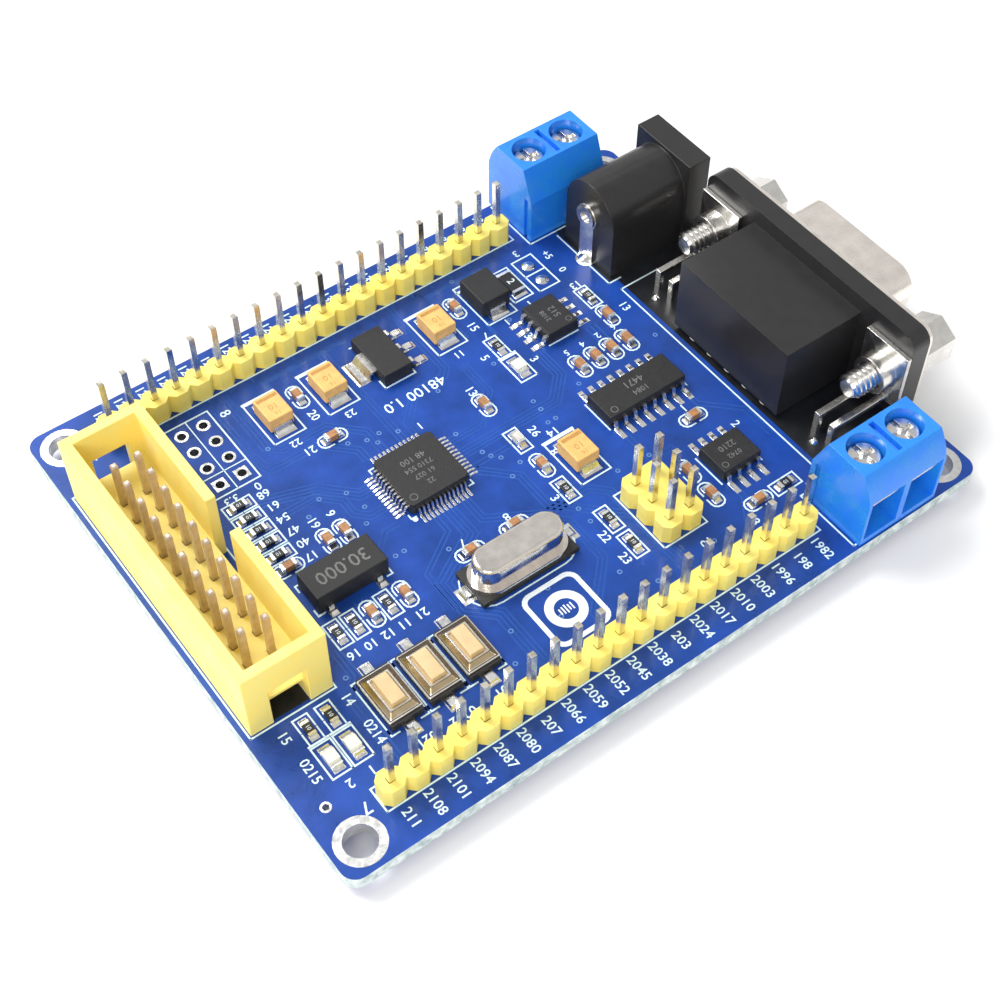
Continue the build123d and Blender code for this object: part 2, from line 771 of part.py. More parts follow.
with BuildPart() as switch_frames:
    with BuildSketch(Plane.XY.offset(board_top + switch_base_height)):
        with Locations(*switch_places):
            Rectangle(frame_width, frame_length)
    extrude(amount=frame_rim_height - switch_base_height)
    for x, y in switch_places:
        with BuildSketch(Plane.XY.offset(board_top + frame_rim_height)):
            with Locations((x, y)):
                Rectangle(frame_crown_width + 2 * frame_slope, frame_crown_length + 2 * frame_slope)
        with BuildSketch(Plane.XY.offset(board_top + frame_crown_height)):
            with Locations((x, y)):
                Rectangle(frame_crown_width, frame_crown_length)
        loft()
    with BuildSketch(Plane.XY.offset(board_top + switch_base_height)):
        with Locations(*switch_places):
            Rectangle(frame_crown_width - 2 * frame_sheet, frame_crown_length - 2 * frame_sheet)
    extrude(amount=frame_crown_height - frame_sheet - switch_base_height, mode=Mode.SUBTRACT)
    with BuildSketch(Plane.XY.offset(board_top + switch_base_height)):
        with Locations(*switch_places):
            Rectangle(plunger_width + 2 * plunger_side_gap, plunger_length + 2 * plunger_side_gap)
    extrude(amount=frame_crown_height, mode=Mode.SUBTRACT)
save(switch_frames, "switch_frames")

for number, (x, y) in enumerate(switch_places, start=1):
    with BuildPart() as plunger:
        with BuildSketch(Plane.XY.offset(board_top + plunger_flange_bottom)):
            with Locations((x, y)):
                Rectangle(plunger_width + 2 * plunger_flange, plunger_length + 2 * plunger_flange)
        extrude(amount=plunger_flange_height)
        with BuildSketch(Plane.XY.offset(board_top + plunger_flange_bottom)):
            with Locations((x, y)):
                Rectangle(plunger_width, plunger_length)
        extrude(amount=plunger_top - plunger_flange_bottom)
        chamfer(plunger.edges().group_by(Axis.Z)[-1], length=0.06)
    save(plunger, f"plunger_{number}")

# ================================================================== screw terminals
cage_width = wire_cavity_width - 2 * cage_side_gap
cage_top = cage_nut_height + cage_nut_thickness
cage_back = wire_cavity_back + 0.1


def terminal_plane(x, back_y, outward):
    """Side plane of a terminal: X runs from its back to its wire face, Y runs up."""
    return Plane(origin=(x, back_y, board_top), x_dir=(0, outward, 0), z_dir=(outward, 0, 0))


def terminal_housing(centre_x, back_y, outward):
    """Moulded housing with a wire cavity and a screw bore for each pole."""
    poles = [centre_x + offset for offset in centred(terminal_poles, terminal_pitch)]
    front = terminal_depth
    with BuildPart() as housing:
        with BuildSketch(terminal_plane(centre_x, back_y, outward)):
            with BuildLine():
                Polyline((front, terminal_front_shoulder), (front, 0), (0, 0),
                         (0, terminal_back_shoulder), (terminal_back_inset, terminal_height),
                         (front - terminal_front_inset, terminal_height))
                ThreePointArc((front - terminal_front_inset, terminal_height),
                              (front - terminal_front_inset * 0.36,
                               (terminal_height + terminal_front_shoulder) / 2),
                              (front, terminal_front_shoulder))
            make_face()
        extrude(amount=terminal_width / 2, both=True)
        # wire cavities, open at the wire face
        with BuildSketch(*[terminal_plane(x, back_y, outward) for x in poles]):
            with Locations(((front + wire_cavity_back) / 2, (wire_cavity_floor + cage_top) / 2)):
                Rectangle(front - wire_cavity_back, cage_top - wire_cavity_floor)
        extrude(amount=wire_cavity_width / 2, both=True, mode=Mode.SUBTRACT)
        axis_y = back_y + outward * screw_axis_depth
        with BuildSketch(Plane.XY.offset(board_top + cage_top)):
            with Locations(*[(x, axis_y) for x in poles]):
                Circle(screw_radius + screw_bore_gap)
        extrude(amount=terminal_height, mode=Mode.SUBTRACT)
        # holes for the solder pins
        with BuildSketch(Plane.XY.offset(board_top)):
            with Locations(*[(x, axis_y) for x in poles]):
                Rectangle(terminal_pin_width + 2 * seat_gap, terminal_pin_thickness + 2 * seat_gap)
        extrude(amount=wire_cavity_floor, mode=Mode.SUBTRACT)
        # dovetail groove in the side that looks along -X
        groove_y = back_y + outward * terminal_groove_depth_in
        with Locations((centre_x - terminal_width / 2, groove_y, board_top)):
            Box(2 * terminal_groove_depth, terminal_groove_width, terminal_back_shoulder,
                align=on_board, mode=Mode.SUBTRACT)
        # marking groove between the poles
        with Locations((centre_x, axis_y, board_top + terminal_height - divider_slot_depth)):
            Box(divider_slot_width, divider_slot_length, divider_slot_depth * 2,
                align=on_board, mode=Mode.SUBTRACT)
    return housing


save(terminal_housing(*terminals[0]), "terminal_housing_back")
save(terminal_housing(*terminals[1]), "terminal_housing_front")

cage_front = terminal_depth - cage_front_inset
with BuildPart() as terminal_cages:
    for x, axis_y, outward in screw_axes:
        back_y = axis_y - outward * screw_axis_depth
        with BuildSketch(terminal_plane(x, back_y, outward)):
            Polygon((cage_back, wire_cavity_floor), (cage_front - 2.2, wire_cavity_floor),
                    (cage_front - 2.2, wire_cavity_floor + cage_strip),
                    (cage_back + cage_wall, wire_cavity_floor + cage_strip),
                    (cage_back + cage_wall, cage_nut_height),
                    (cage_front - cage_wall, cage_nut_height),
                    (cage_front - cage_wall, cage_nut_height - cage_lip),
                    (cage_front, cage_nut_height - cage_lip),
                    (cage_front, cage_top), (cage_back, cage_top), align=None)
        extrude(amount=cage_width / 2, both=True)
    with BuildSketch(Plane.XY.offset(board_top + cage_nut_height)):
        with Locations(*[(x, y) for x, y, outward in screw_axes]):
            Circle(screw_radius + screw_thread_gap)
    extrude(amount=cage_nut_thickness, mode=Mode.SUBTRACT)
    with BuildSketch(Plane.XY.offset(tail_bottom)):
        with Locations(*terminal_pin_places):
            Rectangle(terminal_pin_width, terminal_pin_thickness)
    extrude(amount=board_top + wire_cavity_floor - tail_bottom)
save(terminal_cages, "terminal_cages")

screw_bottom = screw_top - screw_length
leaf_top = screw_bottom - screw_thread_gap
leaf_back = cage_back + cage_wall + leaf_back_gap
for number, (x, axis_y, outward) in enumerate(screw_axes, start=1):
    with BuildPart() as clamp_screw:
        with BuildSketch(Plane.XY.offset(board_top + screw_bottom)):
            with Locations((x, axis_y)):
                Circle(screw_radius)
        extrude(amount=screw_length)
        chamfer(clamp_screw.edges().group_by(Axis.Z)[-1], length=0.15)
        with BuildSketch(Plane.XY.offset(board_top + screw_top - screw_slot_depth)):
            with Locations((x, axis_y)):
                Rectangle(screw_slot_width, 2 * screw_radius)
                Rectangle(2 * screw_radius * 0.7, screw_slot_width)
        extrude(amount=screw_slot_depth, mode=Mode.SUBTRACT)
    save(clamp_screw, f"clamp_screw_{number}")
    leaf_y = axis_y + outward * (leaf_back + leaf_length / 2 - screw_axis_depth)
    with BuildPart() as clamp_leaf:
        with Locations((x, leaf_y, board_top + leaf_top - leaf_thickness)):
            Box(leaf_width, leaf_length, leaf_thickness, align=on_board)
    save(clamp_leaf, f"clamp_leaf_{number}")

# ================================================================== power jack
along_x = Plane(origin=(0, 0, 0), x_dir=(0, 1, 0), z_dir=(1, 0, 0))

with BuildPart() as jack_housing:
    with BuildSketch(along_x.offset(jack_back_x)):
        with Locations((jack_y, jack_axis_z)):
            Circle(jack_barrel_radius)
        with Locations((jack_y, (board_top + jack_axis_z) / 2)):
            Rectangle(2 * jack_barrel_radius, jack_axis_height)
    extrude(amount=jack_barrel_length)
    with BuildSketch(along_x.offset(jack_flange_back_x)):
        with Locations((jack_y, board_top + jack_flange_height / 2)):
            Rectangle(jack_flange_width, jack_flange_height)
    extrude(amount=jack_flange_depth)
    with BuildSketch(along_x.offset(jack_face_x)):
        with Locations((jack_y, jack_axis_z)):
            Circle(jack_bore_radius)
    extrude(amount=-jack_bore_depth, mode=Mode.SUBTRACT)
    with BuildSketch(along_x.offset(jack_back_x)):
        with Locations((jack_y, jack_axis_z)):
            Circle(jack_pin_radius)
    extrude(amount=jack_barrel_length, mode=Mode.SUBTRACT)
    # slot of the spring contact, from the bore down to the board
    with Locations((jack_anchor_x - 0.4, jack_y, board_top)):
        Box(jack_slot_length, jack_slot_width, jack_axis_height,
            align=(Align.MIN, Align.CENTER, Align.MIN), mode=Mode.SUBTRACT)
save(jack_housing, "jack_housing")

with BuildPart() as jack_centre_pin:
    with BuildSketch(along_x.offset(jack_back_x - jack_tab_thickness)):
        with Locations((jack_y, jack_axis_z)):
            Circle(jack_pin_radius)
    extrude(amount=jack_face_x - jack_pin_recess - jack_back_x + jack_tab_thickness)
    fillet(jack_centre_pin.edges().group_by(Axis.X)[-1], radius=jack_pin_radius * 0.6)
    with BuildSketch(along_x.offset(jack_back_x - jack_tab_thickness)):
        with Locations((jack_y, jack_axis_z)):
            Circle(jack_rivet_radius)
            Circle(jack_rivet_radius * 0.5, mode=Mode.SUBTRACT)
    extrude(amount=-jack_rivet_thickness)
save(jack_centre_pin, "jack_centre_pin")

with BuildPart() as jack_solder_tabs:
    # rear blade, held by the riveted end of the centre pin
    with BuildSketch(along_x.offset(jack_back_x - jack_tab_thickness)):
        with Locations((jack_y, jack_axis_z)):
            Circle(jack_rivet_radius + 0.1)
        with Locations((jack_y, (board_top + jack_axis_z) / 2)):
            Rectangle(jack_tab_width, jack_axis_height)
        with Locations((jack_y, (board_top + tail_bottom) / 2)):
            Rectangle(jack_tab_foot, board_top - tail_bottom)
        with Locations((jack_y, jack_axis_z)):
            Circle(jack_pin_radius, mode=Mode.SUBTRACT)
    extrude(amount=jack_tab_thickness)
    # anchor of the spring contact
    with Locations((jack_anchor_x, jack_y, tail_bottom)):
        Box(jack_tab_thickness, jack_tab_foot,
            board_top + jack_leaf_root_height - 0.25 - tail_bottom, align=on_board)
    # side contact
    with Locations((jack_side_x, jack_side_y, tail_bottom)):
        Box(jack_tab_foot, jack_tab_thickness, board_top + 4.4 - tail_bottom, align=on_board)
save(jack_solder_tabs, "jack_solder_tabs")

leaf_root = (jack_anchor_x, board_top + jack_leaf_root_height)
leaf_bump = (jack_face_x + jack_leaf_bump_x, jack_axis_z - jack_bore_radius + jack_leaf_bump)
leaf_tip = (jack_face_x + jack_leaf_tip_x, leaf_bump[1] - jack_leaf_tip_drop)
with BuildPart() as jack_spring_leaf:
    with BuildSketch(Plane.XZ.offset(-jack_y)):
        with BuildLine():
            Polyline(leaf_root, leaf_bump, leaf_tip,
                     (leaf_tip[0], leaf_tip[1] - jack_leaf_thickness),
                     (leaf_bump[0], leaf_bump[1] - jack_leaf_thickness * 1.2),
                     (leaf_root[0], leaf_root[1] - jack_leaf_thickness * 0.6),
                     close=True)
        make_face()
    extrude(amount=jack_leaf_width / 2, both=True)
save(jack_spring_leaf, "jack_spring_leaf")


# ================================================================== D-sub socket
def dsub_outline(inset):
    """Corner points of the D, narrower below, shrunk by an even margin; y and z offsets."""
    slope = math.radians(dsub_side_angle)
    half_height = dsub_shell_height / 2 - inset
    middle = (dsub_shell_width - dsub_shell_height * math.tan(slope)) / 2 - inset / math.cos(slope)
    lean = half_height * math.tan(slope)
    return [(middle + lean, half_height), (-middle - lean, half_height),
            (lean - middle, -half_height), (middle - lean, -half_height)]


def dsub_plane(x):
    """Plane across the D-sub's axis: sketch X runs along the board's Y, sketch Y runs up."""
    return Plane(origin=(x, dsub_y, dsub_axis_z), x_dir=(0, 1, 0), z_dir=(1, 0, 0))


nose_inset = dsub_sheet + 0.05
hood_pocket_width = dsub_hood_width - 2 * dsub_hood_wall
with BuildPart() as dsub_housing:
    with BuildSketch(dsub_plane(dsub_rear_x)):
        with Locations((0, dsub_flange_height / 2 - dsub_axis_height)):
            RectangleRounded(dsub_flange_width, dsub_flange_height, dsub_flange_corner)
    extrude(amount=dsub_flange_depth)
    with BuildSketch(Plane.XY.offset(board_top + dsub_hood_gap)):
        with Locations((dsub_rear_x - dsub_hood_depth / 2, dsub_y)):
            Rectangle(dsub_hood_depth, dsub_hood_width)
    extrude(amount=dsub_hood_height - dsub_hood_gap)
    with BuildSketch(Plane.XY.offset(board_top)):
        with Locations((dsub_rear_x - dsub_hood_depth / 2 + dsub_hood_wall / 2, dsub_y)):
            Rectangle(dsub_hood_depth - dsub_hood_wall, hood_pocket_width)
    extrude(amount=dsub_hood_height - dsub_hood_wall, mode=Mode.SUBTRACT)
    with BuildSketch(dsub_plane(dsub_front_x)) as nose:
        Polygon(*dsub_outline(nose_inset), align=None)
        fillet(nose.vertices(), radius=dsub_shell_corner - nose_inset)
    extrude(amount=dsub_sheet + dsub_shell_reach - dsub_nose_recess)
    with BuildSketch(dsub_plane(dsub_rear_x)):
        with Locations(*[(y - dsub_y, z - dsub_axis_z) for y, z, x in dsub_contacts_at]):
            Circle(dsub_contact_radius + seat_gap)
        with Locations(*[(y - dsub_y, 0) for y in dsub_screw_y]):
            Circle(dsub_screw_radius + dsub_screw_gap)
    extrude(amount=dsub_flange_depth + dsub_sheet + dsub_shell_reach, mode=Mode.SUBTRACT)
save(dsub_housing, "dsub_housing")

with BuildPart() as dsub_shell:
    with BuildSketch(dsub_plane(dsub_front_x)):
        with Locations((0, dsub_flange_height / 2 - dsub_axis_height)):
            RectangleRounded(dsub_flange_width - 0.2, dsub_flange_height - 0.2,
                             dsub_flange_corner)
    extrude(amount=dsub_sheet)
    with BuildSketch(dsub_plane(dsub_shell_x)) as skirt:
        Polygon(*dsub_outline(0), align=None)
        fillet(skirt.vertices(), radius=dsub_shell_corner)
    extrude(amount=dsub_shell_reach)
    fillet(dsub_shell.edges().group_by(Axis.X)[-1], radius=dsub_sheet * 0.6)
    with BuildSketch(dsub_plane(dsub_front_x)) as opening:
        Polygon(*dsub_outline(dsub_sheet), align=None)
        fillet(opening.vertices(), radius=dsub_shell_corner - dsub_sheet)
    extrude(amount=dsub_sheet + dsub_shell_reach, mode=Mode.SUBTRACT)
    with BuildSketch(dsub_plane(dsub_front_x)):
        with Locations(*[(y - dsub_y, 0) for y in dsub_screw_y]):
            Circle(dsub_screw_radius + dsub_screw_gap)
    extrude(amount=dsub_sheet, mode=Mode.SUBTRACT)
save(dsub_shell, "dsub_shell")

dsub_barrel_end_x = dsub_shell_x + dsub_shell_reach - dsub_nose_recess - 0.3
with BuildPart() as dsub_contacts:
    for y, z, tail_x in dsub_contacts_at:
        with BuildSketch(along_x.offset(dsub_rear_x)):
            with Locations((y, z)):
                Circle(dsub_contact_radius)
        extrude(amount=dsub_barrel_end_x - dsub_rear_x)
        with BuildSketch(along_x.offset(dsub_barrel_end_x)):
            with Locations((y, z)):
                Circle(dsub_contact_bore)
        extrude(amount=-dsub_contact_bore_depth, mode=Mode.SUBTRACT)
        with BuildSketch(Plane.XZ.offset(-y)):
            with Locations(((dsub_rear_x + tail_x - dsub_wire / 2) / 2, z)):
                Rectangle(dsub_rear_x - tail_x + dsub_wire / 2, dsub_wire)
            with Locations((tail_x, (z + tail_bottom) / 2)):
                Rectangle(dsub_wire, z - tail_bottom)
        extrude(amount=dsub_wire / 2, both=True)
save(dsub_contacts, "dsub_contacts")

bracket_back_x = dsub_rear_x - bracket_sheet
with BuildPart() as dsub_brackets:
    for y in dsub_screw_y:
        with BuildSketch(along_x.offset(bracket_back_x)):
            with Locations((y, board_top + (bracket_foot_height + bracket_top) / 2)):
                Rectangle(bracket_width, bracket_top - bracket_foot_height + bracket_sheet)
        extrude(amount=bracket_sheet)
        with BuildSketch(along_x.offset(bracket_back_x)):
            with Locations((y, dsub_axis_z)):
                Circle(bracket_boss_radius)
        extrude(amount=-bracket_boss_length)
        with BuildSketch(along_x.offset(dsub_rear_x)):
            with Locations((y, dsub_axis_z)):
                Circle(dsub_screw_radius + dsub_screw_gap)
        extrude(amount=-bracket_sheet - bracket_boss_length, mode=Mode.SUBTRACT)
        for side in (-1, 1):
            with BuildSketch(Plane.XZ.offset(-y - side * prong_spacing / 2)):
                with BuildLine():
                    prong_z = board_top + bracket_foot_height
                    Polyline((bracket_back_x, prong_z - bracket_sheet / 2),
                             (board_lock_x + bracket_sheet / 2, prong_z - bracket_sheet / 2),
                             (board_lock_x + bracket_sheet / 2, tail_bottom),
                             (board_lock_x - bracket_sheet / 2, tail_bottom),
                             (board_lock_x - bracket_sheet / 2, prong_z + bracket_sheet / 2),
                             (bracket_back_x, prong_z + bracket_sheet / 2),
                             close=True)
                make_face()
            extrude(amount=prong_width / 2, both=True)
save(dsub_brackets, "dsub_brackets")

with BuildPart() as dsub_standoffs:
    with BuildSketch(dsub_plane(dsub_shell_x)):
        with Locations(*[(y - dsub_y, 0) for y in dsub_screw_y]):
            RegularPolygon(radius=standoff_across_flats / 2, side_count=6, major_radius=False)
    extrude(amount=standoff_length)
    chamfer(dsub_standoffs.edges().group_by(Axis.X)[-1], length=0.25)
    with BuildSketch(dsub_plane(dsub_rear_x - dsub_screw_reach)):
        with Locations(*[(y - dsub_y, 0) for y in dsub_screw_y]):
            Circle(dsub_screw_radius)
    extrude(amount=dsub_shell_x - dsub_rear_x + dsub_screw_reach)
    with BuildSketch(dsub_plane(dsub_shell_x + standoff_length)):
        with Locations(*[(y - dsub_y, 0) for y in dsub_screw_y]):
            Circle(standoff_hole_radius)
    extrude(amount=-standoff_hole_depth, mode=Mode.SUBTRACT)
save(dsub_standoffs, "dsub_standoffs")


# ================================================================== solder under the board
def tail_solder(places, tail_x, tail_y):
    """Cones of solder round the tails, on the board's underside."""
    tail_radius = math.hypot(tail_x, tail_y) / 2
    with BuildPart() as joints:
        with Locations(*[(x, y, -solder_rise / 2) for x, y in places]):
            Cone(bottom_radius=tail_radius + solder_width / 3,
                 top_radius=tail_radius + 2 * solder_width, height=solder_rise)
        with BuildSketch(Plane.XY.offset(-solder_rise)):
            with Locations(*places):
                Rectangle(tail_x, tail_y)
        extrude(amount=solder_rise, mode=Mode.SUBTRACT)
    return joints


with BuildPart() as solder_joints:
    add(tail_solder(square_pin_places, pin_width, pin_width).part)
    add(tail_solder(terminal_pin_places, terminal_pin_width, terminal_pin_thickness).part)
    add(tail_solder(jack_tab_places[:1] + jack_tab_places[1:2], jack_tab_thickness,
                    jack_tab_foot).part)
    add(tail_solder(jack_tab_places[2:], jack_tab_foot, jack_tab_thickness).part)
    add(tail_solder(dsub_tail_places, dsub_wire, dsub_wire).part)
    # the two power holes are filled
    with BuildSketch():
        with Locations(*power_hole_places):
            Circle(pin_hole_radius)
    extrude(amount=board_thickness + 0.12)
save(solder_joints, "solder_joints")
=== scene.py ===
import math
import random

import bmesh
import bpy
from mathutils import Matrix, Vector


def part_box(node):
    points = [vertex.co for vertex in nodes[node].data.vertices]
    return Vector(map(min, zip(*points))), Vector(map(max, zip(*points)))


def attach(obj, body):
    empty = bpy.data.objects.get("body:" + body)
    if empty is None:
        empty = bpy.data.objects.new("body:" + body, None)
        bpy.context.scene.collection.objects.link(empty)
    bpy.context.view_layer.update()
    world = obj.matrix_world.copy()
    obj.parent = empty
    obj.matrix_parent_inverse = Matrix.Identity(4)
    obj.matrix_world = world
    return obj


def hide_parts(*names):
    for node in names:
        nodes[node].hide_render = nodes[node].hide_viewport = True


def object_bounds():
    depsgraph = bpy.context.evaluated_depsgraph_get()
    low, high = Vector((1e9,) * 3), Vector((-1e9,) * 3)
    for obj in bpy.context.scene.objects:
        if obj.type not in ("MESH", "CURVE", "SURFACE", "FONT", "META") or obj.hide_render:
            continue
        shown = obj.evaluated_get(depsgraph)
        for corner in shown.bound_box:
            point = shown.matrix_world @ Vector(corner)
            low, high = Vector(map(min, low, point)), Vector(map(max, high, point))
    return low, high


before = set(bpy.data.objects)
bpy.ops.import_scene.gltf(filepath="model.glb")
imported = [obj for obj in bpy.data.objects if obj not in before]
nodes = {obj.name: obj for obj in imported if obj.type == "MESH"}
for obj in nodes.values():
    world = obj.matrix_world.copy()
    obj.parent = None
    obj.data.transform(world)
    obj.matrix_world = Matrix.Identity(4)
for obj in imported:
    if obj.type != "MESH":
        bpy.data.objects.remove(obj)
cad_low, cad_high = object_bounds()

random.seed(7)
MM = 0.001
TOP = 1.6                                    # board's upper face, in mm
DSUB_Y = -4.94                               # middle of the D-sub, across the board
DSUB_PITCH = 2.77
DSUB_ROWS_X = (26.65, 29.49)                 # five contacts, then four
LOCK_Y = (-17.44, 7.56)                      # the D-sub's two board locks
JACK_Y = 16.85
REGULATOR = (-2.3, 17.65)
CRYSTAL = (-6.5, -11.75)
CLOCK = (-20.95, -3.4)
KEY_POWER = 2.2                              # W
FILL_POWER = 1.2
SKY_STRENGTH = 0.62
LENS = 61.18                                 # mm, on a 36 mm sensor
collection = bpy.context.scene.collection


# ------------------------------------------------------------------ materials
def material(name, colour, rough=0.45, metal=0.0, vary=0.06, scale=500.0, bump=0.0, bump_scale=4000.0,
             rough_vary=0.06, coat=0.0, specular=0.5, second=None, transmission=0.0,
             subsurface=0.0):
    """Principled material whose colour, roughness and relief come from noise in the object's space."""
    m = bpy.data.materials.new(name)
    m.use_nodes = True
    tree = m.node_tree
    shader = tree.nodes["Principled BSDF"]
    coords = tree.nodes.new("ShaderNodeTexCoord")
    noise = tree.nodes.new("ShaderNodeTexNoise")
    noise.inputs["Scale"].default_value = scale
    noise.inputs["Detail"].default_value = 4.0
    noise.inputs["Roughness"].default_value = 0.6
    tree.links.new(coords.outputs["Object"], noise.inputs["Vector"])
    ramp = tree.nodes.new("ShaderNodeValToRGB")
    dark = [c * (1 - vary) for c in colour]
    light = list(second) if second else [min(1.0, c * (1 + vary)) for c in colour]
    ramp.color_ramp.elements[0].position = 0.32
    ramp.color_ramp.elements[0].color = (*dark, 1)
    ramp.color_ramp.elements[1].position = 0.68
    ramp.color_ramp.elements[1].color = (*light, 1)
    tree.links.new(noise.outputs["Fac"], ramp.inputs["Fac"])
    tree.links.new(ramp.outputs["Color"], shader.inputs["Base Color"])
    spread = tree.nodes.new("ShaderNodeMapRange")
    spread.inputs["From Min"].default_value = 0.3
    spread.inputs["From Max"].default_value = 0.7
    spread.inputs["To Min"].default_value = max(0.02, rough - rough_vary)
    spread.inputs["To Max"].default_value = min(1.0, rough + rough_vary)
    tree.links.new(noise.outputs["Fac"], spread.inputs["Value"])
    tree.links.new(spread.outputs["Result"], shader.inputs["Roughness"])
    if bump:
        grain = tree.nodes.new("ShaderNodeTexNoise")
        grain.inputs["Scale"].default_value = bump_scale
        grain.inputs["Detail"].default_value = 3.0
        tree.links.new(coords.outputs["Object"], grain.inputs["Vector"])
        relief = tree.nodes.new("ShaderNodeBump")
        relief.inputs["Strength"].default_value = bump
        relief.inputs["Distance"].default_value = 0.00004
        tree.links.new(grain.outputs["Fac"], relief.inputs["Height"])
        tree.links.new(relief.outputs["Normal"], shader.inputs["Normal"])
    shader.inputs["Metallic"].default_value = metal
    shader.inputs["Coat Weight"].default_value = coat
    shader.inputs["Coat Roughness"].default_value = 0.08
    shader.inputs["Specular IOR Level"].default_value = specular
    shader.inputs["Subsurface Weight"].default_value = subsurface
    shader.inputs["Subsurface Radius"].default_value = (0.0006, 0.0005, 0.0003)
    shader.inputs["Transmission Weight"].default_value = transmission
    return m


mask = material("solder_mask", (0.010, 0.052, 0.265), 0.32, vary=0.10, scale=260, bump=0.25, bump_scale=2600,
                coat=0.08, specular=0.28, second=(0.011, 0.066, 0.38))
mask_trace = material("covered_track", (0.016, 0.078, 0.35), 0.28, vary=0.10, scale=500, coat=0.08,
                      specular=0.3)
laminate = material("laminate_edge", (0.42, 0.56, 0.56), 0.75, vary=0.30, scale=900, bump=0.9,
                    bump_scale=3500,
                    second=(0.80, 0.86, 0.84), rough_vary=0.1)
ink = material("marking_ink", (0.72, 0.90, 0.98), 0.55, vary=0.08, scale=1500, bump=0.2)
patch_ink = material("patch_ink", (0.82, 0.90, 0.96), 0.5, vary=0.06, scale=900, bump=0.2)
tin = material("tinned_copper", (0.80, 0.80, 0.78), 0.24, 1.0, vary=0.12, scale=1200, bump=0.3,
               bump_scale=2500)
solder = material("solder", (0.84, 0.84, 0.82), 0.20, 1.0, vary=0.14, scale=1400, bump=0.4, bump_scale=2200)
lead = material("chip_lead", (0.82, 0.81, 0.78), 0.26, 1.0, vary=0.10, scale=1500, bump=0.2)
pin_tin = material("pin_plating", (0.80, 0.76, 0.66), 0.20, 1.0, vary=0.16, scale=900, bump=0.3,
                   bump_scale=3000)
pin_gold = material("pin_gold_flash", (0.58, 0.47, 0.38), 0.34, 0.55, vary=0.18, scale=900, bump=0.3,
                    bump_scale=3000)
yellow = material("header_plastic", (0.96, 0.84, 0.22), 0.42, vary=0.05, scale=350, bump=0.35,
                  bump_scale=3200,
                  subsurface=0.12, second=(1.0, 0.76, 0.13))
yellow_shroud = material("shroud_plastic", (0.96, 0.83, 0.25), 0.46, vary=0.05, scale=300, bump=0.4,
                         bump_scale=2600, subsurface=0.12, second=(1.0, 0.78, 0.18))
black_chip = material("moulding_compound", (0.014, 0.014, 0.015), 0.55, vary=0.25, scale=1600, bump=0.6,
                      bump_scale=6000)
black_case = material("black_moulding", (0.018, 0.017, 0.017), 0.34, vary=0.08, scale=700, bump=0.10,
                      bump_scale=5000, rough_vary=0.02)
black_base = material("black_base", (0.020, 0.019, 0.018), 0.5, vary=0.2, scale=900, bump=0.5)
laser = material("laser_mark", (0.16, 0.16, 0.155), 0.7, vary=0.25, scale=3000)
amber = material("tantalum_resin", (0.80, 0.47, 0.15), 0.42, vary=0.10, scale=900, bump=0.4, bump_scale=5000)
amber_dark = material("tantalum_mark", (0.50, 0.25, 0.06), 0.5, vary=0.15, scale=2200)
ceramic = material("capacitor_ceramic", (0.42, 0.20, 0.08), 0.42, vary=0.22, scale=1800, bump=0.4)
ceramic_pale = material("bead_ceramic", (0.62, 0.60, 0.55), 0.45, vary=0.15, scale=1800, bump=0.4)
resistor_face = material("resistor_glaze", (0.020, 0.019, 0.019), 0.35, vary=0.3, scale=1500, bump=0.3,
                         coat=0.2)
cap_tin = material("chip_end_tin", (0.86, 0.86, 0.84), 0.30, 1.0, vary=0.10, scale=2500, bump=0.5)
led_resin = material("led_resin", (0.88, 0.88, 0.76), 0.2, vary=0.06, scale=1500, coat=0.5, subsurface=0.3)
can = material("crystal_steel", (0.88, 0.82, 0.76), 0.13, 1.0, vary=0.10, scale=700, bump=0.12,
               bump_scale=1800)
switch_steel = material("switch_steel", (0.84, 0.80, 0.74), 0.22, 1.0, vary=0.04, scale=1200, bump=0.04,
                        rough_vary=0.02)
# painted shade and reflection: a darker tan metal for the switch covers' slope faces
switch_slope_shade_reflection = material("switch_slope_painted_shade_reflection", (0.50, 0.40, 0.26), 0.30, 1.0, vary=0.06, scale=900, bump=0.05,
                      rough_vary=0.02)
# painted shade: dark material for the switch covers' groove faces
switch_groove_shade = material("switch_groove_painted_shade", (0.10, 0.08, 0.06), 0.45, 0.6, vary=0.10, scale=900)
cream = material("plunger_plastic", (0.66, 0.49, 0.26), 0.45, vary=0.06, scale=900, bump=0.3)
blue = material("terminal_plastic", (0.020, 0.27, 0.80), 0.30, vary=0.08, scale=420, bump=0.3,
                bump_scale=2800,
                coat=0.2, second=(0.012, 0.20, 0.88), subsurface=0.05)
nickel = material("nickel_plate", (0.76, 0.74, 0.70), 0.24, 1.0, vary=0.10, scale=600, bump=0.25,
                  bump_scale=2400)
shell_steel = material("shell_steel", (0.92, 0.86, 0.79), 0.28, 1.0, vary=0.08, scale=500, bump=0.3,
                       bump_scale=2000)
floor_white = material("studio_ground", (0.93, 0.93, 0.93), 0.9, vary=0.01, scale=30)


# ------------------------------------------------------------------ mesh helpers
def piece(name, mesh_maker, mat, body="board", replaced=(), smooth=None):
    """New object from a bmesh, in millimetres, that rides on a body."""
    bm = bmesh.new()
    mesh_maker(bm)
    bmesh.ops.scale(bm, vec=(MM, MM, MM), verts=bm.verts)
    bmesh.ops.recalc_face_normals(bm, faces=bm.faces)
    mesh = bpy.data.meshes.new(name)
    bm.to_mesh(mesh)
    bm.free()
    mats = mat if isinstance(mat, (list, tuple)) else [mat]
    for m in mats:
        mesh.materials.append(m)
    if smooth is not None:
        mesh.shade_smooth()
        mesh.set_sharp_from_angle(angle=math.radians(smooth))
    obj = bpy.data.objects.new(name, mesh)
    collection.objects.link(obj)
    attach(obj, body)
    if replaced:
        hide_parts(*replaced)
    return obj


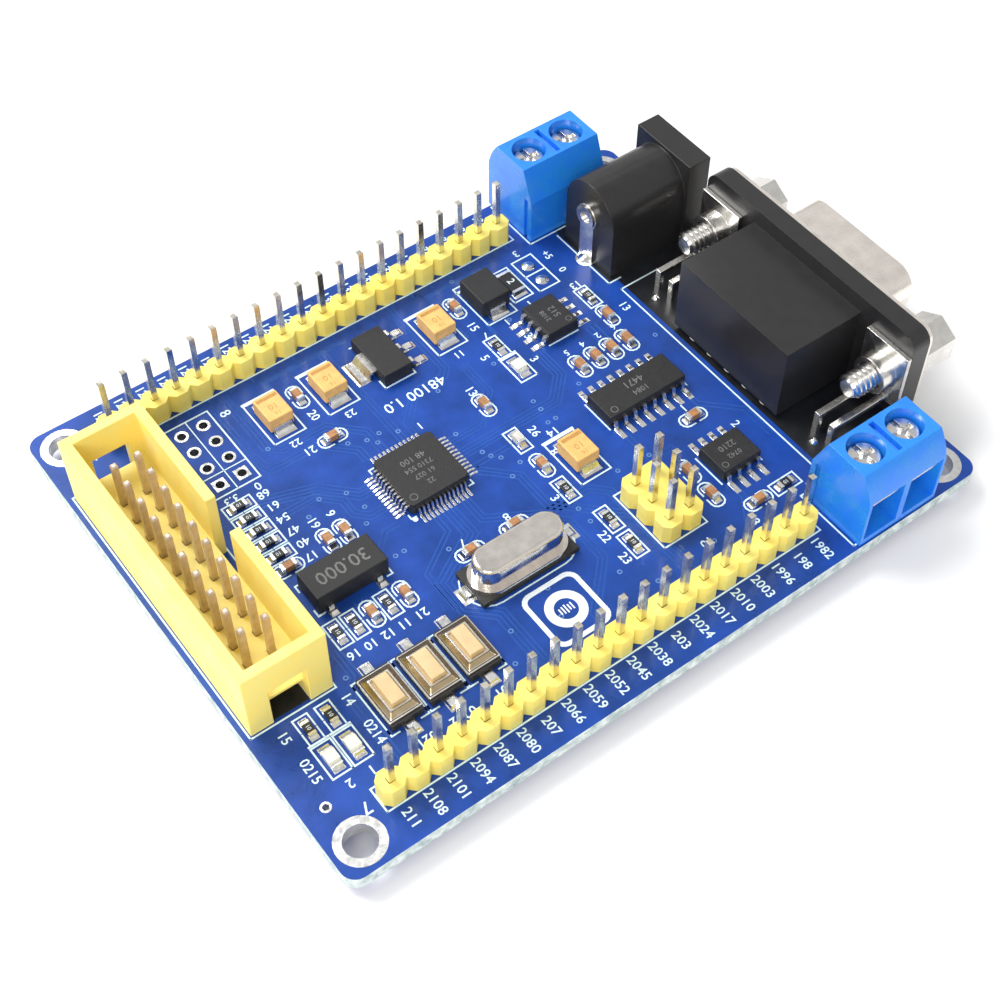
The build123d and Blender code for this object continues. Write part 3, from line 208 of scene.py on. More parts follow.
def softened(node, width, mat, segments=2, body="board", angle=40):
    """Stands for a CAD node with its edges rounded by width mm."""
    mesh = nodes[node].data.copy()
    mesh.materials.clear()
    mesh.materials.append(mat)
    bm = bmesh.new()
    bm.from_mesh(mesh)
    bmesh.ops.remove_doubles(bm, verts=bm.verts, dist=1e-7)
    bmesh.ops.dissolve_limit(bm, angle_limit=math.radians(0.5), verts=bm.verts, edges=bm.edges)
    bm.to_mesh(mesh)
    bm.free()
    for p in mesh.polygons:
        p.material_index = 0
    obj = bpy.data.objects.new(node + "_moulded", mesh)
    collection.objects.link(obj)
    mesh.shade_smooth()
    mesh.set_sharp_from_angle(angle=math.radians(angle))
    bevel = obj.modifiers.new("edges", "BEVEL")
    bevel.width = width * MM
    bevel.segments = segments
    bevel.limit_method = "ANGLE"
    bevel.angle_limit = math.radians(angle)
    bevel.use_clamp_overlap = True
    bevel.harden_normals = True
    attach(obj, body)
    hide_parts(node)
    return obj


def prism(bm, points, z0, z1, index=0):
    """Upright prism over a flat outline."""
    low = [bm.verts.new((x, y, z0)) for x, y in points]
    high = [bm.verts.new((x, y, z1)) for x, y in points]
    n = len(points)
    made = [bm.faces.new(high), bm.faces.new(low[::-1])]
    for k in range(n):
        made.append(bm.faces.new((low[k], low[(k + 1) % n], high[(k + 1) % n], high[k])))
    for f in made:
        f.material_index = index


def segment(bm, a, b, width, z0, z1, index=0):
    ax, ay = a
    bx, by = b
    d = math.hypot(bx - ax, by - ay)
    if d < 1e-6:
        return
    ux, uy = (bx - ax) / d, (by - ay) / d
    h = width / 2
    ax, ay, bx, by = ax - ux * h * 0.9, ay - uy * h * 0.9, bx + ux * h * 0.9, by + uy * h * 0.9
    prism(bm, [(ax - uy * h, ay + ux * h), (ax + uy * h, ay - ux * h),
               (bx + uy * h, by - ux * h), (bx - uy * h, by + ux * h)], z0, z1, index)


def polyline(bm, points, width, z0, z1, closed=False, index=0):
    pairs = zip(points, points[1:] + points[:1]) if closed else zip(points, points[1:])
    for k, (a, b) in enumerate(pairs):
        segment(bm, a, b, width, z0 + 0.0006 * (k % 3), z1 + 0.0006 * (k % 3), index)


def ring(bm, x, y, r_in, r_out, z0, z1, steps=28, index=0):
    """Flat ring, or a disc where r_in is 0."""
    outer_low, outer_high, inner_low, inner_high = [], [], [], []
    for k in range(steps):
        c, s = math.cos(2 * math.pi * k / steps), math.sin(2 * math.pi * k / steps)
        outer_low.append(bm.verts.new((x + c * r_out, y + s * r_out, z0)))
        outer_high.append(bm.verts.new((x + c * r_out, y + s * r_out, z1)))
        if r_in > 0:
            inner_low.append(bm.verts.new((x + c * r_in, y + s * r_in, z0)))
            inner_high.append(bm.verts.new((x + c * r_in, y + s * r_in, z1)))
    made = []
    if r_in <= 0:
        made += [bm.faces.new(outer_high), bm.faces.new(outer_low[::-1])]
    for k in range(steps):
        n = (k + 1) % steps
        made.append(bm.faces.new((outer_low[k], outer_low[n], outer_high[n], outer_high[k])))
        if r_in > 0:
            made.append(bm.faces.new((outer_high[k], outer_high[n], inner_high[n], inner_high[k])))
            made.append(bm.faces.new((inner_low[n], inner_low[k], inner_high[k], inner_high[n])))
            made.append(bm.faces.new((outer_low[n], outer_low[k], inner_low[k], inner_low[n])))
    for f in made:
        f.material_index = index


def lathe(bm, profile, place, steps=24, index=0):
    """Turned form: profile is (radius, height) pairs and place maps it onto the object."""
    rows = []
    for r, h in profile:
        if r < 1e-6:
            rows.append([bm.verts.new(place @ Vector((0, 0, h)))] * steps)
        else:
            rows.append([bm.verts.new(place @ Vector((r * math.cos(2 * math.pi * k / steps),
                                                      r * math.sin(2 * math.pi * k / steps), h)))
                         for k in range(steps)])
    for a, b in zip(rows, rows[1:]):
        for k in range(steps):
            corner = []
            for v in (a[k], a[(k + 1) % steps], b[(k + 1) % steps], b[k]):
                if v not in corner:
                    corner.append(v)
            if len(corner) > 2:
                bm.faces.new(corner).material_index = index


def local(x, y, turn=0.0, z=TOP):
    return Matrix.Translation((x, y, z)) @ Matrix.Rotation(math.radians(turn), 4, "Z")


def swept(bm, place, outline, width, top_width=None, index=0):
    """Outline in the place's X-Z plane, carried across its Y axis; the upper points may be narrower."""
    high = max(z for x, z in outline) or 1
    rows = []
    for side in (-1, 1):
        row = []
        for x, z in outline:
            w = width + ((top_width if top_width is not None else width) - width) * z / high
            row.append(bm.verts.new(place @ Vector((x, side * w / 2, z))))
        rows.append(row)
    n = len(outline)
    made = [bm.faces.new(rows[0]), bm.faces.new(rows[1][::-1])]
    for k in range(n):
        made.append(bm.faces.new((rows[0][(k + 1) % n], rows[0][k], rows[1][k], rows[1][(k + 1) % n])))
    for f in made:
        f.material_index = index


def fillet_outline(height, reach, back=0.12):
    """Concave run of solder from a terminal's end down to the pad."""
    pts = [(-back, 0.0), (-back, height)]
    for k in range(7):
        t = k / 6
        pts.append((0.02 + reach * t, height * (1 - t) ** 2.1 + 0.03))
    pts.append((0.02 + reach, 0.0))
    return pts


def rounded(x0, y0, x1, y1, r, steps=5):
    """Corner points of a rectangle with rounded corners."""
    pts = []
    for cx, cy, a in ((x1 - r, y1 - r, 0), (x0 + r, y1 - r, 90), (x0 + r, y0 + r, 180),
                      (x1 - r, y0 + r, 270)):
        for k in range(steps + 1):
            t = math.radians(a + 90 * k / steps)
            pts.append((cx + r * math.cos(t), cy + r * math.sin(t)))
    return pts


def turned_points(points, place):
    out = []
    for x, y in points:
        v = place @ Vector((x, y, 0))
        out.append((v.x, v.y))
    return out


# ------------------------------------------------------------------ places, in mm, as on the CAD board
H_FIRST, PITCH = -29.97, 2.54
rows_y = (-24.72, 25.28)
header_pins = [(H_FIRST + PITCH * k, y) for y in rows_y for k in range(20)]
shroud_low, shroud_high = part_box("box_header_shroud")
shroud_x = (shroud_low.x + shroud_high.x) / 2 / MM
shroud_y = (shroud_low.y + shroud_high.y) / 2 / MM
box_pins = [(shroud_x + (c - 0.5) * PITCH,
             shroud_y + (r - 4.5) * PITCH) for c in range(2) for r in range(10)]
small_pins = [(8.77 + (c - 0.5) * PITCH, -14.80 + (r - 1) * PITCH) for c in range(2) for r in range(3)]
spare = [(-23.26 + (c - 0.5) * PITCH, 17.33 + (r - 1.5) * PITCH) for c in range(2) for r in range(4)]
power_pads = [(18.5, 18.38 + s * PITCH / 2) for s in (-1, 1)]
resistors = ([(-24.45, 10.0 - 1.83 * k, 0) for k in range(5)]
             + [(x, -8.2, 90) for x in (-24.78, -22.88, -19.10)] + [(x, -15.15,
                                                                     90) for x in (-32.45, -30.10)]
             + [(3.9, y, 90) for y in (-12.8, -16.5)]
             + [(2.72, -7.4, 90), (8.6, 11.9, 90), (20.9, 12.05, 90), (20.75, -19.8, 0)])
capacitors = ([(-24.45, 0.85, 0)] + [(x, -8.2, 90) for x in (-20.93, -17.15)]
              + [(x, 4.6, 90) for x in (14.0, 16.1, 18.2, 20.3)]
              + [(-19.65, 1.32, 90), (-17.7, 1.32, 90), (-12.2, 18.65, 90), (8.2, 19.2, 90),
                 (-12.25, 11.9, 0),
                 (2.7, 6.28, 90), (2.72, -3.55, 90), (-9.3, -7.9, 0), (-4.0, -7.9, 0), (19.0, -7.75, 0),
                 (17.2, -19.8, 0), (13.95, -12.85, 90), (13.95, -16.45, 90), (20.9, 8.6, 90)])
bead = (2.68, 0.45, 90)
fuse = (15.2, 18.45, 90)
leds = [(-32.4, -18.8, 90), (-30.1, -18.8, 90), (8.7, 8.3, 90)]
tantalums = [(-15.6, 17.7), (-9.0, 17.7), (4.75, 17.7), (6.25, -4.8)]
switches = [(x, -16.85) for x in (-24.80, -20.45, -16.15)]
soics = [(16.15, -1.95, 0, 8), (15.1, 11.35, 90, 4), (18.3, -14.1, 0, 4)]
quad = (-7.9, 2.45)

# ------------------------------------------------------------------ carried-over CAD nodes
def dress(node, *mats):
    mesh = nodes[node].data
    mesh.materials.clear()
    for m in mats:
        mesh.materials.append(m)
    for p in mesh.polygons:
        p.material_index = 0
    return mesh


board_mesh = dress("circuit_board", mask, laminate, tin)
half_x, half_y = 75.5 / 2 * MM, 59.9 / 2 * MM
for p in board_mesh.polygons:
    if abs(p.normal.z) < 0.5:
        c = p.center
        outside = abs(c.x) > half_x - 1.7 * MM and abs(abs(c.x) - half_x) < 1.7 * MM \
            and (abs(c.x) > half_x - 0.2 * MM or abs(c.y) > half_y - 1.7 * MM)
        outside = outside or abs(c.y) > half_y - 0.2 * MM
        p.material_index = 1 if outside else 2

for name in ("side_header_pins", "small_header_pins"):
    dress(name, pin_tin)
dress("box_header_pins", pin_gold)
for name in ("microcontroller_leads", "line_driver_leads", "small_chip_leads", "regulator_leads",
             "diode_leads",
             "clock_crystal_leads", "crystal_leads", "tantalum_leads", "switch_leads"):
    dress(name, lead)
dress("chip_end_caps", cap_tin)
dress("led_end_caps", cap_tin)
dress("solder_joints", solder)
dress("ferrite_bead", ceramic_pale)
dress("switch_domes", nickel)
dress("terminal_cages", nickel)
dress("jack_centre_pin", nickel)
dress("jack_solder_tabs", nickel)
dress("jack_spring_leaf", nickel)
dress("dsub_contacts", pin_gold)
for k in range(1, 5):
    dress(f"clamp_leaf_{k}", nickel)
can_mesh = dress("crystal_can", can)
can_mesh.shade_smooth()
can_mesh.set_sharp_from_angle(angle=math.radians(30))

for node, width, mat, slot, segments in (
        ("side_header_housings", 0.12, yellow, "yellow_plastic", 2),
        ("small_header_housing", 0.12, yellow, "yellow_plastic", 2),
        ("box_header_shroud", 0.16, yellow_shroud, "yellow_plastic", 3),
        ("microcontroller_body", 0.09, black_chip, "chip_black", 2),
        ("line_driver_body", 0.12, black_chip, "chip_black", 2),
        ("small_chip_bodies", 0.12, black_chip, "chip_black", 2),
        ("regulator_body", 0.12, black_chip, "chip_black", 2),
        ("diode_body", 0.16, black_chip, "chip_black", 2),
        ("fuse_body", 0.05, black_chip, "chip_black", 2),
        ("resistor_bodies", 0.03, resistor_face, "chip_black", 2),
        ("capacitor_bodies", 0.06, ceramic, "brown_ceramic", 2),
        ("tantalum_bodies", 0.16, amber, "amber_resin", 2),
        ("clock_crystal_body", 0.15, black_chip, "chip_black", 2),
        ("crystal_base", 0.08, black_base, "black_plastic", 2),
        ("switch_bases", 0.06, black_base, "black_plastic", 2),
        ("led_bodies", 0.10, led_resin, "led_resin", 3),
        ("terminal_housing_back", 0.14, blue, "blue_plastic", 2),
        ("terminal_housing_front", 0.14, blue, "blue_plastic", 2),
        ("jack_housing", 0.22, black_case, "black_plastic", 3),
        ("dsub_housing", 0.22, black_case, "black_plastic", 3),
        ("dsub_shell", 0.10, shell_steel, "plated_metal", 2),
        ("dsub_brackets", 0.08, nickel, "plated_metal", 2)):
    softened(node, width, mat, segments)
for k in range(1, 4):
    softened(f"plunger_{k}", 0.10, cream, 3, body=f"button_{k}")
for k in range(1, 5):
    softened(f"clamp_screw_{k}", 0.06, nickel, body=f"screw_{k}")

# ------------------------------------------------------------------ threaded standoffs of the D-sub
stand_low, stand_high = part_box("dsub_standoffs")


def standoffs(bm):
    tip = stand_high.x / MM
    base = 38.1
    rear = stand_low.x / MM
    half = 4.75 / 2
    for y in (-4.94 - 12.5, -4.94 + 12.5):
        radius = half / math.cos(math.radians(30))
        rows = []
        for x, r in ((base, radius), (tip - 0.3, radius), (tip, radius - 0.32)):
            rows.append([bm.verts.new((x, y + r * math.cos(math.radians(60 * k + 30)) * 1.0,
                                       7.4 + r * math.sin(math.radians(60 * k + 30)))) for k in range(6)])
        inner = [[bm.verts.new((x, y + r * math.cos(2 * math.pi * k / 24),
                                7.4 + r * math.sin(2 * math.pi * k / 24))) for k in range(24)]
                 for x, r in ((tip - 0.25, 1.2), (tip - 4.4, 1.2))]
        for a, b in zip(rows, rows[1:]):
            for k in range(6):
                bm.faces.new((a[k], a[(k + 1) % 6], b[(k + 1) % 6], b[k]))
        bm.faces.new(rows[0][::-1])
        mouth = [bm.verts.new((tip, y + 1.45 * math.cos(2 * math.pi * k / 24),
                               7.4 + 1.45 * math.sin(2 * math.pi * k / 24))) for k in range(24)]
        for j in range(6):
            fan = [mouth[(4 * j + 2 + i) % 24] for i in range(5)]
            bm.faces.new((rows[2][j], rows[2][(j + 1) % 6], fan[4], fan[3], fan[2], fan[1], fan[0]))
        for k in range(24):
            n = (k + 1) % 24
            bm.faces.new((mouth[k], mouth[n], inner[0][n], inner[0][k]))
            bm.faces.new((inner[0][k], inner[0][n], inner[1][n], inner[1][k]))
        bm.faces.new(inner[1])
        # thread: a helical ridge round the shank
        steps, lead_mm = 24, 0.64
        x = rear
        profile = [(0.0, rear)]
        helix = []
        turns = int((base - 2.8 - rear) / lead_mm)
        count = turns * steps
        for k in range(count + 1):
            t = 2 * math.pi * k / steps
            cx = rear + 0.1 + lead_mm * k / steps
            row = []
            for dx, r in ((-0.5, 1.14), (-0.12, 1.41), (0.12, 1.41), (0.5, 1.14)):
                row.append(bm.verts.new((cx + dx * lead_mm * 0.98 + lead_mm * 0.4,
                                         y + r * math.cos(t), 7.4 + r * math.sin(t))))
            helix.append(row)
        for a, b in zip(helix, helix[1:]):
            for k in range(3):
                bm.faces.new((a[k], a[k + 1], b[k + 1], b[k]))
        lathe(bm, [(0.0, rear), (0.95, rear), (1.15, rear + 0.25), (1.15, base)],
              Matrix.Translation((0, y, 7.4)) @ Matrix.Rotation(math.radians(90), 4, "Y"))


piece("dsub_threaded_standoffs", standoffs, nickel, replaced=("dsub_standoffs",), smooth=30)

# ------------------------------------------------------------------ pads, rings and solder on the top face
PAD0, PAD1 = TOP - 0.01, TOP + 0.02


def pads(bm):
    for x in (-34.75, 34.75):
        for y in (-26.95, 26.95):
            ring(bm, x, y, 1.62, 2.45, PAD0, PAD1, 48)
    ring(bm, -35.4, -22.5, 0.32, 0.55, PAD0, PAD1)
    for x, y in header_pins + small_pins + box_pins:
        ring(bm, x, y, 0.46, 0.85, PAD0, PAD1)
    for k, (x, y) in enumerate(spare):
        if abs(y - 13.52) < 0.1:
            r = 0.72
            for a, b, c, d in ((-r, -r, r, -0.5), (-r, 0.5, r, r), (-r, -0.5, -0.5, 0.5),
                               (0.5, -0.5, r, 0.5)):
                prism(bm, [(x + a, y + b), (x + c, y + b), (x + c, y + d), (x + a, y + d)], PAD0, PAD1)
        ring(bm, x, y, 0.47, 0.74, PAD0, PAD1 + 0.002)
    for x, y, turn in resistors + capacitors + [bead]:
        for side in (-1, 1):
            p = local(x, y, turn)
            prism(bm, turned_points([(side * 0.52, -0.44), (side * 1.25, -0.44), (side * 1.25, 0.44),
                                     (side * 0.52, 0.44)][::side], p), PAD0, PAD1)
    for x, y, turn in leds:
        for side in (-1, 1):
            p = local(x, y, turn)
            prism(bm, turned_points([(side * 0.6, -0.6), (side * 1.5, -0.6), (side * 1.5, 0.6),
                                     (side * 0.6, 0.6)][::side], p), PAD0, PAD1)
    x, y, turn = fuse
    for side in (-1, 1):
        p = local(x, y, turn)
        prism(bm, turned_points([(side * 1.1, -0.85), (side * 2.1, -0.85), (side * 2.1, 0.85),
                                 (side * 1.1, 0.85)][::side], p), PAD0, PAD1)
    for x, y in tantalums:
        for side in (-1, 1):
            prism(bm, [(x - 1.15, y + side * 1.2), (x + 1.15, y + side * 1.2), (x + 1.15, y + side * 2.65),
                       (x - 1.15, y + side * 2.65)][::side], PAD0, PAD1)
    for side in (-1, 1):
        prism(bm, [(11.6 - 1.15, 18.3 + side * 1.5), (11.6 + 1.15, 18.3 + side * 1.5),
                   (11.6 + 1.15, 18.3 + side * 3.1), (11.6 - 1.15, 18.3 + side * 3.1)][::side], PAD0, PAD1)
    for x, y, turn, n in soics:
        for side in (-1, 1):
            for k in range(n):
                dx = (k - (n - 1) / 2) * 1.27
                p = local(x, y, turn)
                pts = [(dx - 0.3, side * 2.2), (dx + 0.3, side * 2.2), (dx + 0.3, side * 3.8),
                       (dx - 0.3, side * 3.8)]
                prism(bm, turned_points(pts, p), PAD0, PAD1)
    for turn in (0, 90, 180, 270):
        p = local(quad[0], quad[1], turn)
        for k in range(12):
            dy = (k - 5.5) * 0.5
            prism(bm,
                  turned_points([(3.9, dy - 0.13), (4.95, dy - 0.13), (4.95, dy + 0.13), (3.9, dy + 0.13)],
                                p),
                  PAD0, PAD1)
    for dy in (-2.3, 0, 2.3):
        prism(bm, [(-0.1, 17.65 + dy - 0.5), (1.6, 17.65 + dy - 0.5), (1.6, 17.65 + dy + 0.5),
                   (-0.1, 17.65 + dy + 0.5)], PAD0, PAD1)
    prism(bm, [(-6.3, 15.9), (-4.6, 15.9), (-4.6, 19.4), (-6.3, 19.4)], PAD0, PAD1)
    for side in (-1, 1):
        prism(bm, [(-6.5 + side * 4.2, -12.75), (-6.5 + side * 6.9, -12.75), (-6.5 + side * 6.9, -10.75),
                   (-6.5 + side * 4.2, -10.75)], PAD0, PAD1)
        for dx in (-2.75, 2.75):
            prism(bm, [(-20.95 + dx - 0.5, -3.4 + side * 1.7), (-20.95 + dx + 0.5, -3.4 + side * 1.7),
                       (-20.95 + dx + 0.5, -3.4 + side * 3.0), (-20.95 + dx - 0.5, -3.4 + side * 3.0)],
                  PAD0, PAD1)
    for x, y in switches:
        for side in (-1, 1):
            prism(bm, [(x - 0.65, y + side * 2.8), (x + 0.65, y + side * 2.8), (x + 0.65, y + side * 4.5),
                       (x - 0.65, y + side * 4.5)], PAD0, PAD1)
    for k in range(5):
        ring(bm, DSUB_ROWS_X[0], DSUB_Y + (k - 2) * DSUB_PITCH, 0.56, 0.9, PAD0, PAD1)
    for k in range(4):
        ring(bm, DSUB_ROWS_X[1], DSUB_Y + (k - 1.5) * DSUB_PITCH, 0.56, 0.9, PAD0, PAD1)
    for x, y in ((24.425, JACK_Y), (30.2, JACK_Y), (27.5, 21.07)):
        ring(bm, x, y, 0.93, 1.2, PAD0, PAD1, 36)


piece("board_pads", pads, tin)


# painted shade: a near-black sheet laid on the board where the shadow and reflection of the black connectors
# fall
painted_shade_film = material("painted_shade_mask", (0.010, 0.011, 0.014), 0.34, vary=0.2, scale=500, bump=0.25, coat=0.1)


def painted_shade_patches(bm):
    """Painted shade and reflection: near-black patches on the board under the socket, round the jack and in
    the hollows under the shrouded header, where the black parts' shadow and reflection fall.
    """
    for x0, y0, x1, y1 in ((25.15, -20.45, 37.6, 10.55), (25.15, 10.55, 37.6, 12.35),
                           (24.25, 12.35, 37.6, 23.6)):
        prism(bm, [(x0, y0), (x1, y0), (x1, y1), (x0, y1)], TOP - 0.005, TOP + 0.018)
    low, high = (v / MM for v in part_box("box_header_shroud"))
    middle = (low.x + high.x) / 2
    for y0, y1 in ((low.y + 0.25, low.y + 3.4), (high.y - 3.4, high.y - 0.25)):
        prism(bm, [(middle - 1.9, y0), (middle + 1.9, y0), (middle + 1.9, y1), (middle - 1.9, y1)],
              TOP - 0.005, TOP + 0.018)


# the painted shade patches ride on the board as a thin sheet
piece("painted_shade_film", painted_shade_patches, painted_shade_film)


def switch_rims(bm):
    """Pressed switch covers: an outer rim, a groove, a slope and a raised ring round the plunger; the groove
    faces carry painted shade in a dark material and the slope faces painted shade and reflection in a tan
    metal.
    """
    steps = [(1.825, 2.725, 0.90, 0.16), (1.825, 2.725, 1.12, 0.16), (1.79, 2.69, 1.15, 0.16),
             (1.70, 2.60, 1.15, 0.14),
             (1.65, 2.55, 1.07, 0.14), (1.55, 2.45, 1.07, 0.12), (1.50, 2.40, 1.12, 0.12),
             (1.20, 2.00, 1.46, 0.12),
             (1.16, 1.96, 1.58, 0.12), (1.11, 1.91, 1.61, 0.12), (0.98, 1.80, 1.61, 0.08),
             (0.94, 1.75, 1.57, 0.06),
             (0.94, 1.75, 1.40, 0.06), (1.08, 1.88, 1.38, 0.10), (1.42, 2.30, 0.98, 0.12),
             (1.60, 2.50, 0.90, 0.14)]
    for x, y in switches:
        loops = []
        for hx, hy, h, r in steps:
            outline = rounded(x - hx, y - hy, x + hx, y + hy, r)
            loops.append([bm.verts.new((px, py, TOP + h)) for px, py in outline])
        for n, (low, high) in enumerate(zip(loops, loops[1:] + loops[:1])):
            for k in range(len(low)):
                j = (k + 1) % len(low)
                face = bm.faces.new((low[k], low[j], high[j], high[k]))
                # groove faces take the painted shade material, slope faces the painted shade and reflection
                # material
                face.material_index = 2 if n in (3, 4) else 1 if n in (6, 7) else 0


piece("switch_covers", switch_rims, [switch_steel, switch_slope_shade_reflection, switch_groove_shade],
      replaced=("switch_frames",), smooth=24)


def top_solder(bm):
    rnd = random.Random(3)
    for x, y, turn in resistors + capacitors + [bead]:
        tall = 0.32 if (x, y, turn) in resistors else 0.5
        for side in (0, 180):
            p = local(x, y, turn + side) @ Matrix.Translation((0.8, 0, 0))
            swept(bm, p, fillet_outline(tall * rnd.uniform(0.8, 1.1), 0.40), 0.78, 0.66)
    for x, y, turn in leds:
        for side in (0, 180):
            p = local(x, y, turn + side) @ Matrix.Translation((1.0, 0, 0))
            swept(bm, p, fillet_outline(0.32 * rnd.uniform(0.8, 1.1), 0.45), 1.1, 0.95)
    for side in (0, 180):
        p = local(*fuse[:2], fuse[2] + side) @ Matrix.Translation((1.6, 0, 0))
        swept(bm, p, fillet_outline(0.5, 0.45), 1.6, 1.4)
    for x, y in tantalums:
        for turn in (90, 270):
            p = local(x, y, turn) @ Matrix.Translation((1.91, 0, 0))
            swept(bm, p, fillet_outline(0.7 * rnd.uniform(0.85, 1.1), 0.62), 2.2, 1.9)
    for turn in (90, 270):
        p = local(11.6, 18.3, turn) @ Matrix.Translation((2.42, 0, 0))
        swept(bm, p, fillet_outline(0.8, 0.6), 2.1, 1.9)
    for x, y, turn, n in soics:
        for side in (90, 270):
            for k in range(n):
                p = local(x, y, turn + side) @ Matrix.Translation((3.0, (k - (n - 1) / 2) * 1.27, 0))
                swept(bm, p, fillet_outline(0.17, 0.6, 0.5), 0.5, 0.4)
    for turn in (0, 90, 180, 270):
        for k in range(12):
            p = local(*quad, turn) @ Matrix.Translation((4.5, (k - 5.5) * 0.5, 0))
            swept(bm, p, fillet_outline(0.11, 0.36, 0.3), 0.25, 0.2)
    for dy in (-2.3, 0, 2.3):
        p = local(REGULATOR[0], REGULATOR[1] + dy) @ Matrix.Translation((3.6, 0, 0))
        swept(bm, p, fillet_outline(0.26, 0.4, 0.5), 0.9, 0.75)
    p = local(*REGULATOR, 180) @ Matrix.Translation((3.6, 0, 0))
    swept(bm, p, fillet_outline(0.28, 0.35, 0.5), 3.3, 3.0)
    for side in (0, 180):
        p = local(*CRYSTAL, side) @ Matrix.Translation((6.45, 0, 0))
        swept(bm, p, fillet_outline(0.28, 0.4, 0.7), 1.2, 0.9)
        for dx in (-2.75, 2.75):
            p = local(*CLOCK, side + 90) @ Matrix.Translation((2.55, dx, 0))
            swept(bm, p, fillet_outline(0.28, 0.4, 0.4), 0.8, 0.6)
        for x, y in switches:
            p = local(x, y, side + 90) @ Matrix.Translation((4.1, 0, 0))
            swept(bm, p, fillet_outline(0.32, 0.36, 0.9), 1.15, 0.85)


piece("board_solder", top_solder, solder, smooth=40)


def round_solder(bm):
    """Domes of solder round the through-hole tails that can be seen from above."""
    for x, y, r, tall in ([(DSUB_ROWS_X[0], DSUB_Y + (k - 2) * DSUB_PITCH, 0.82, 0.35) for k in range(5)]
                          + [(DSUB_ROWS_X[1], DSUB_Y + (k - 1.5) * DSUB_PITCH, 0.82, 0.35) for k in range(4)]
                          + [(24.425, JACK_Y, 0.95, 0.4), (27.5, 21.07, 1.0, 0.4)]
                          + [(x, y, 0.5, 0.4) for x in (26.75, 29.25) for y in LOCK_Y]
                          + [(x, y, 0.74, 0.18) for x, y in power_pads]):
        lathe(bm, [(r, 0.0), (r * 0.92, tall * 0.22), (r * 0.75, tall * 0.5), (r * 0.5, tall * 0.85),
                   (r * 0.25, tall), (0.0, tall * 1.02)], local(x, y), 28)


piece("tail_solder", round_solder, solder, smooth=60)


# ------------------------------------------------------------------ vias and tracks under the mask
vias = [(-17.6, 6.15), (-19.6, 4.9), (-15, 5.2), (-14.5, 2.7), (-15.5, 0.9), (-9.6, 9.6), (-8.1, 9.65),
        (-8.9, 8.7),
        (-6.4, 8.7), (-11.4, 10.4), (0, 10.7), (6.9, 10.3), (-1.9, 4.9), (7.1, 3.7), (7.1, 2.4), (6.6, 0.55),
        (7.6, 0.55), (-1.1, 1.4), (-0.7, 0.5), (0, -0.3), (12.4, 2.8), (1.2, -1.9), (-0.5, -2.9),
        (-15.4, -4),
        (-14.4, -4), (-10.8, -6.4), (2.3, -10), (2.3, -11.9), (-5.9, -15.7), (-6.8, -19), (-11.6, -17.5),
        (0.8, -18.3), (8.4, -8.6), (3.1, -21.3), (-26.8, -12.6), (-13.4, -20.6), (12.2, -8.9), (22.4, -22.6),
        (-27.4, 22.4), (10.3, 22.7), (-18.3, 14.6), (12.0, 14.4), (23.2, 3.4), (10.5, -20.9)]


def via_rings(bm):
    for x, y in vias:
        ring(bm, x, y, 0.14, 0.27, TOP - 0.005, TOP + 0.016, 16)


piece("via_rings", via_rings, material("via_ring", (0.10, 0.22, 0.50), 0.3, vary=0.2, scale=1500, coat=0.3))


def track(bm, points, count=1, step=0.42, width=0.2, z=0.012):
    """A bundle of parallel tracks along a path, mitred at its corners."""
    for j in range(count):
        off = (j - (count - 1) / 2) * step
        out = []
        for k, (x, y) in enumerate(points):
            a = points[max(k - 1, 0)]
            b = points[min(k + 1, len(points) - 1)]
            if 0 < k < len(points) - 1:
                d1 = Vector((x - a[0], y - a[1])).normalized()
                d2 = Vector((b[0] - x, b[1] - y)).normalized()
                n1, n2 = Vector((-d1.y, d1.x)), Vector((-d2.y, d2.x))
                n = (n1 + n2).normalized()
                scale = off / max(0.4, n.dot(n1))
            else:
                d = Vector((b[0] - a[0], b[1] - a[1])).normalized()
                n, scale = Vector((-d.y, d.x)), off
            out.append((x + n.x * scale, y + n.y * scale))
        polyline(bm, out, width, TOP - 0.004, TOP + z)


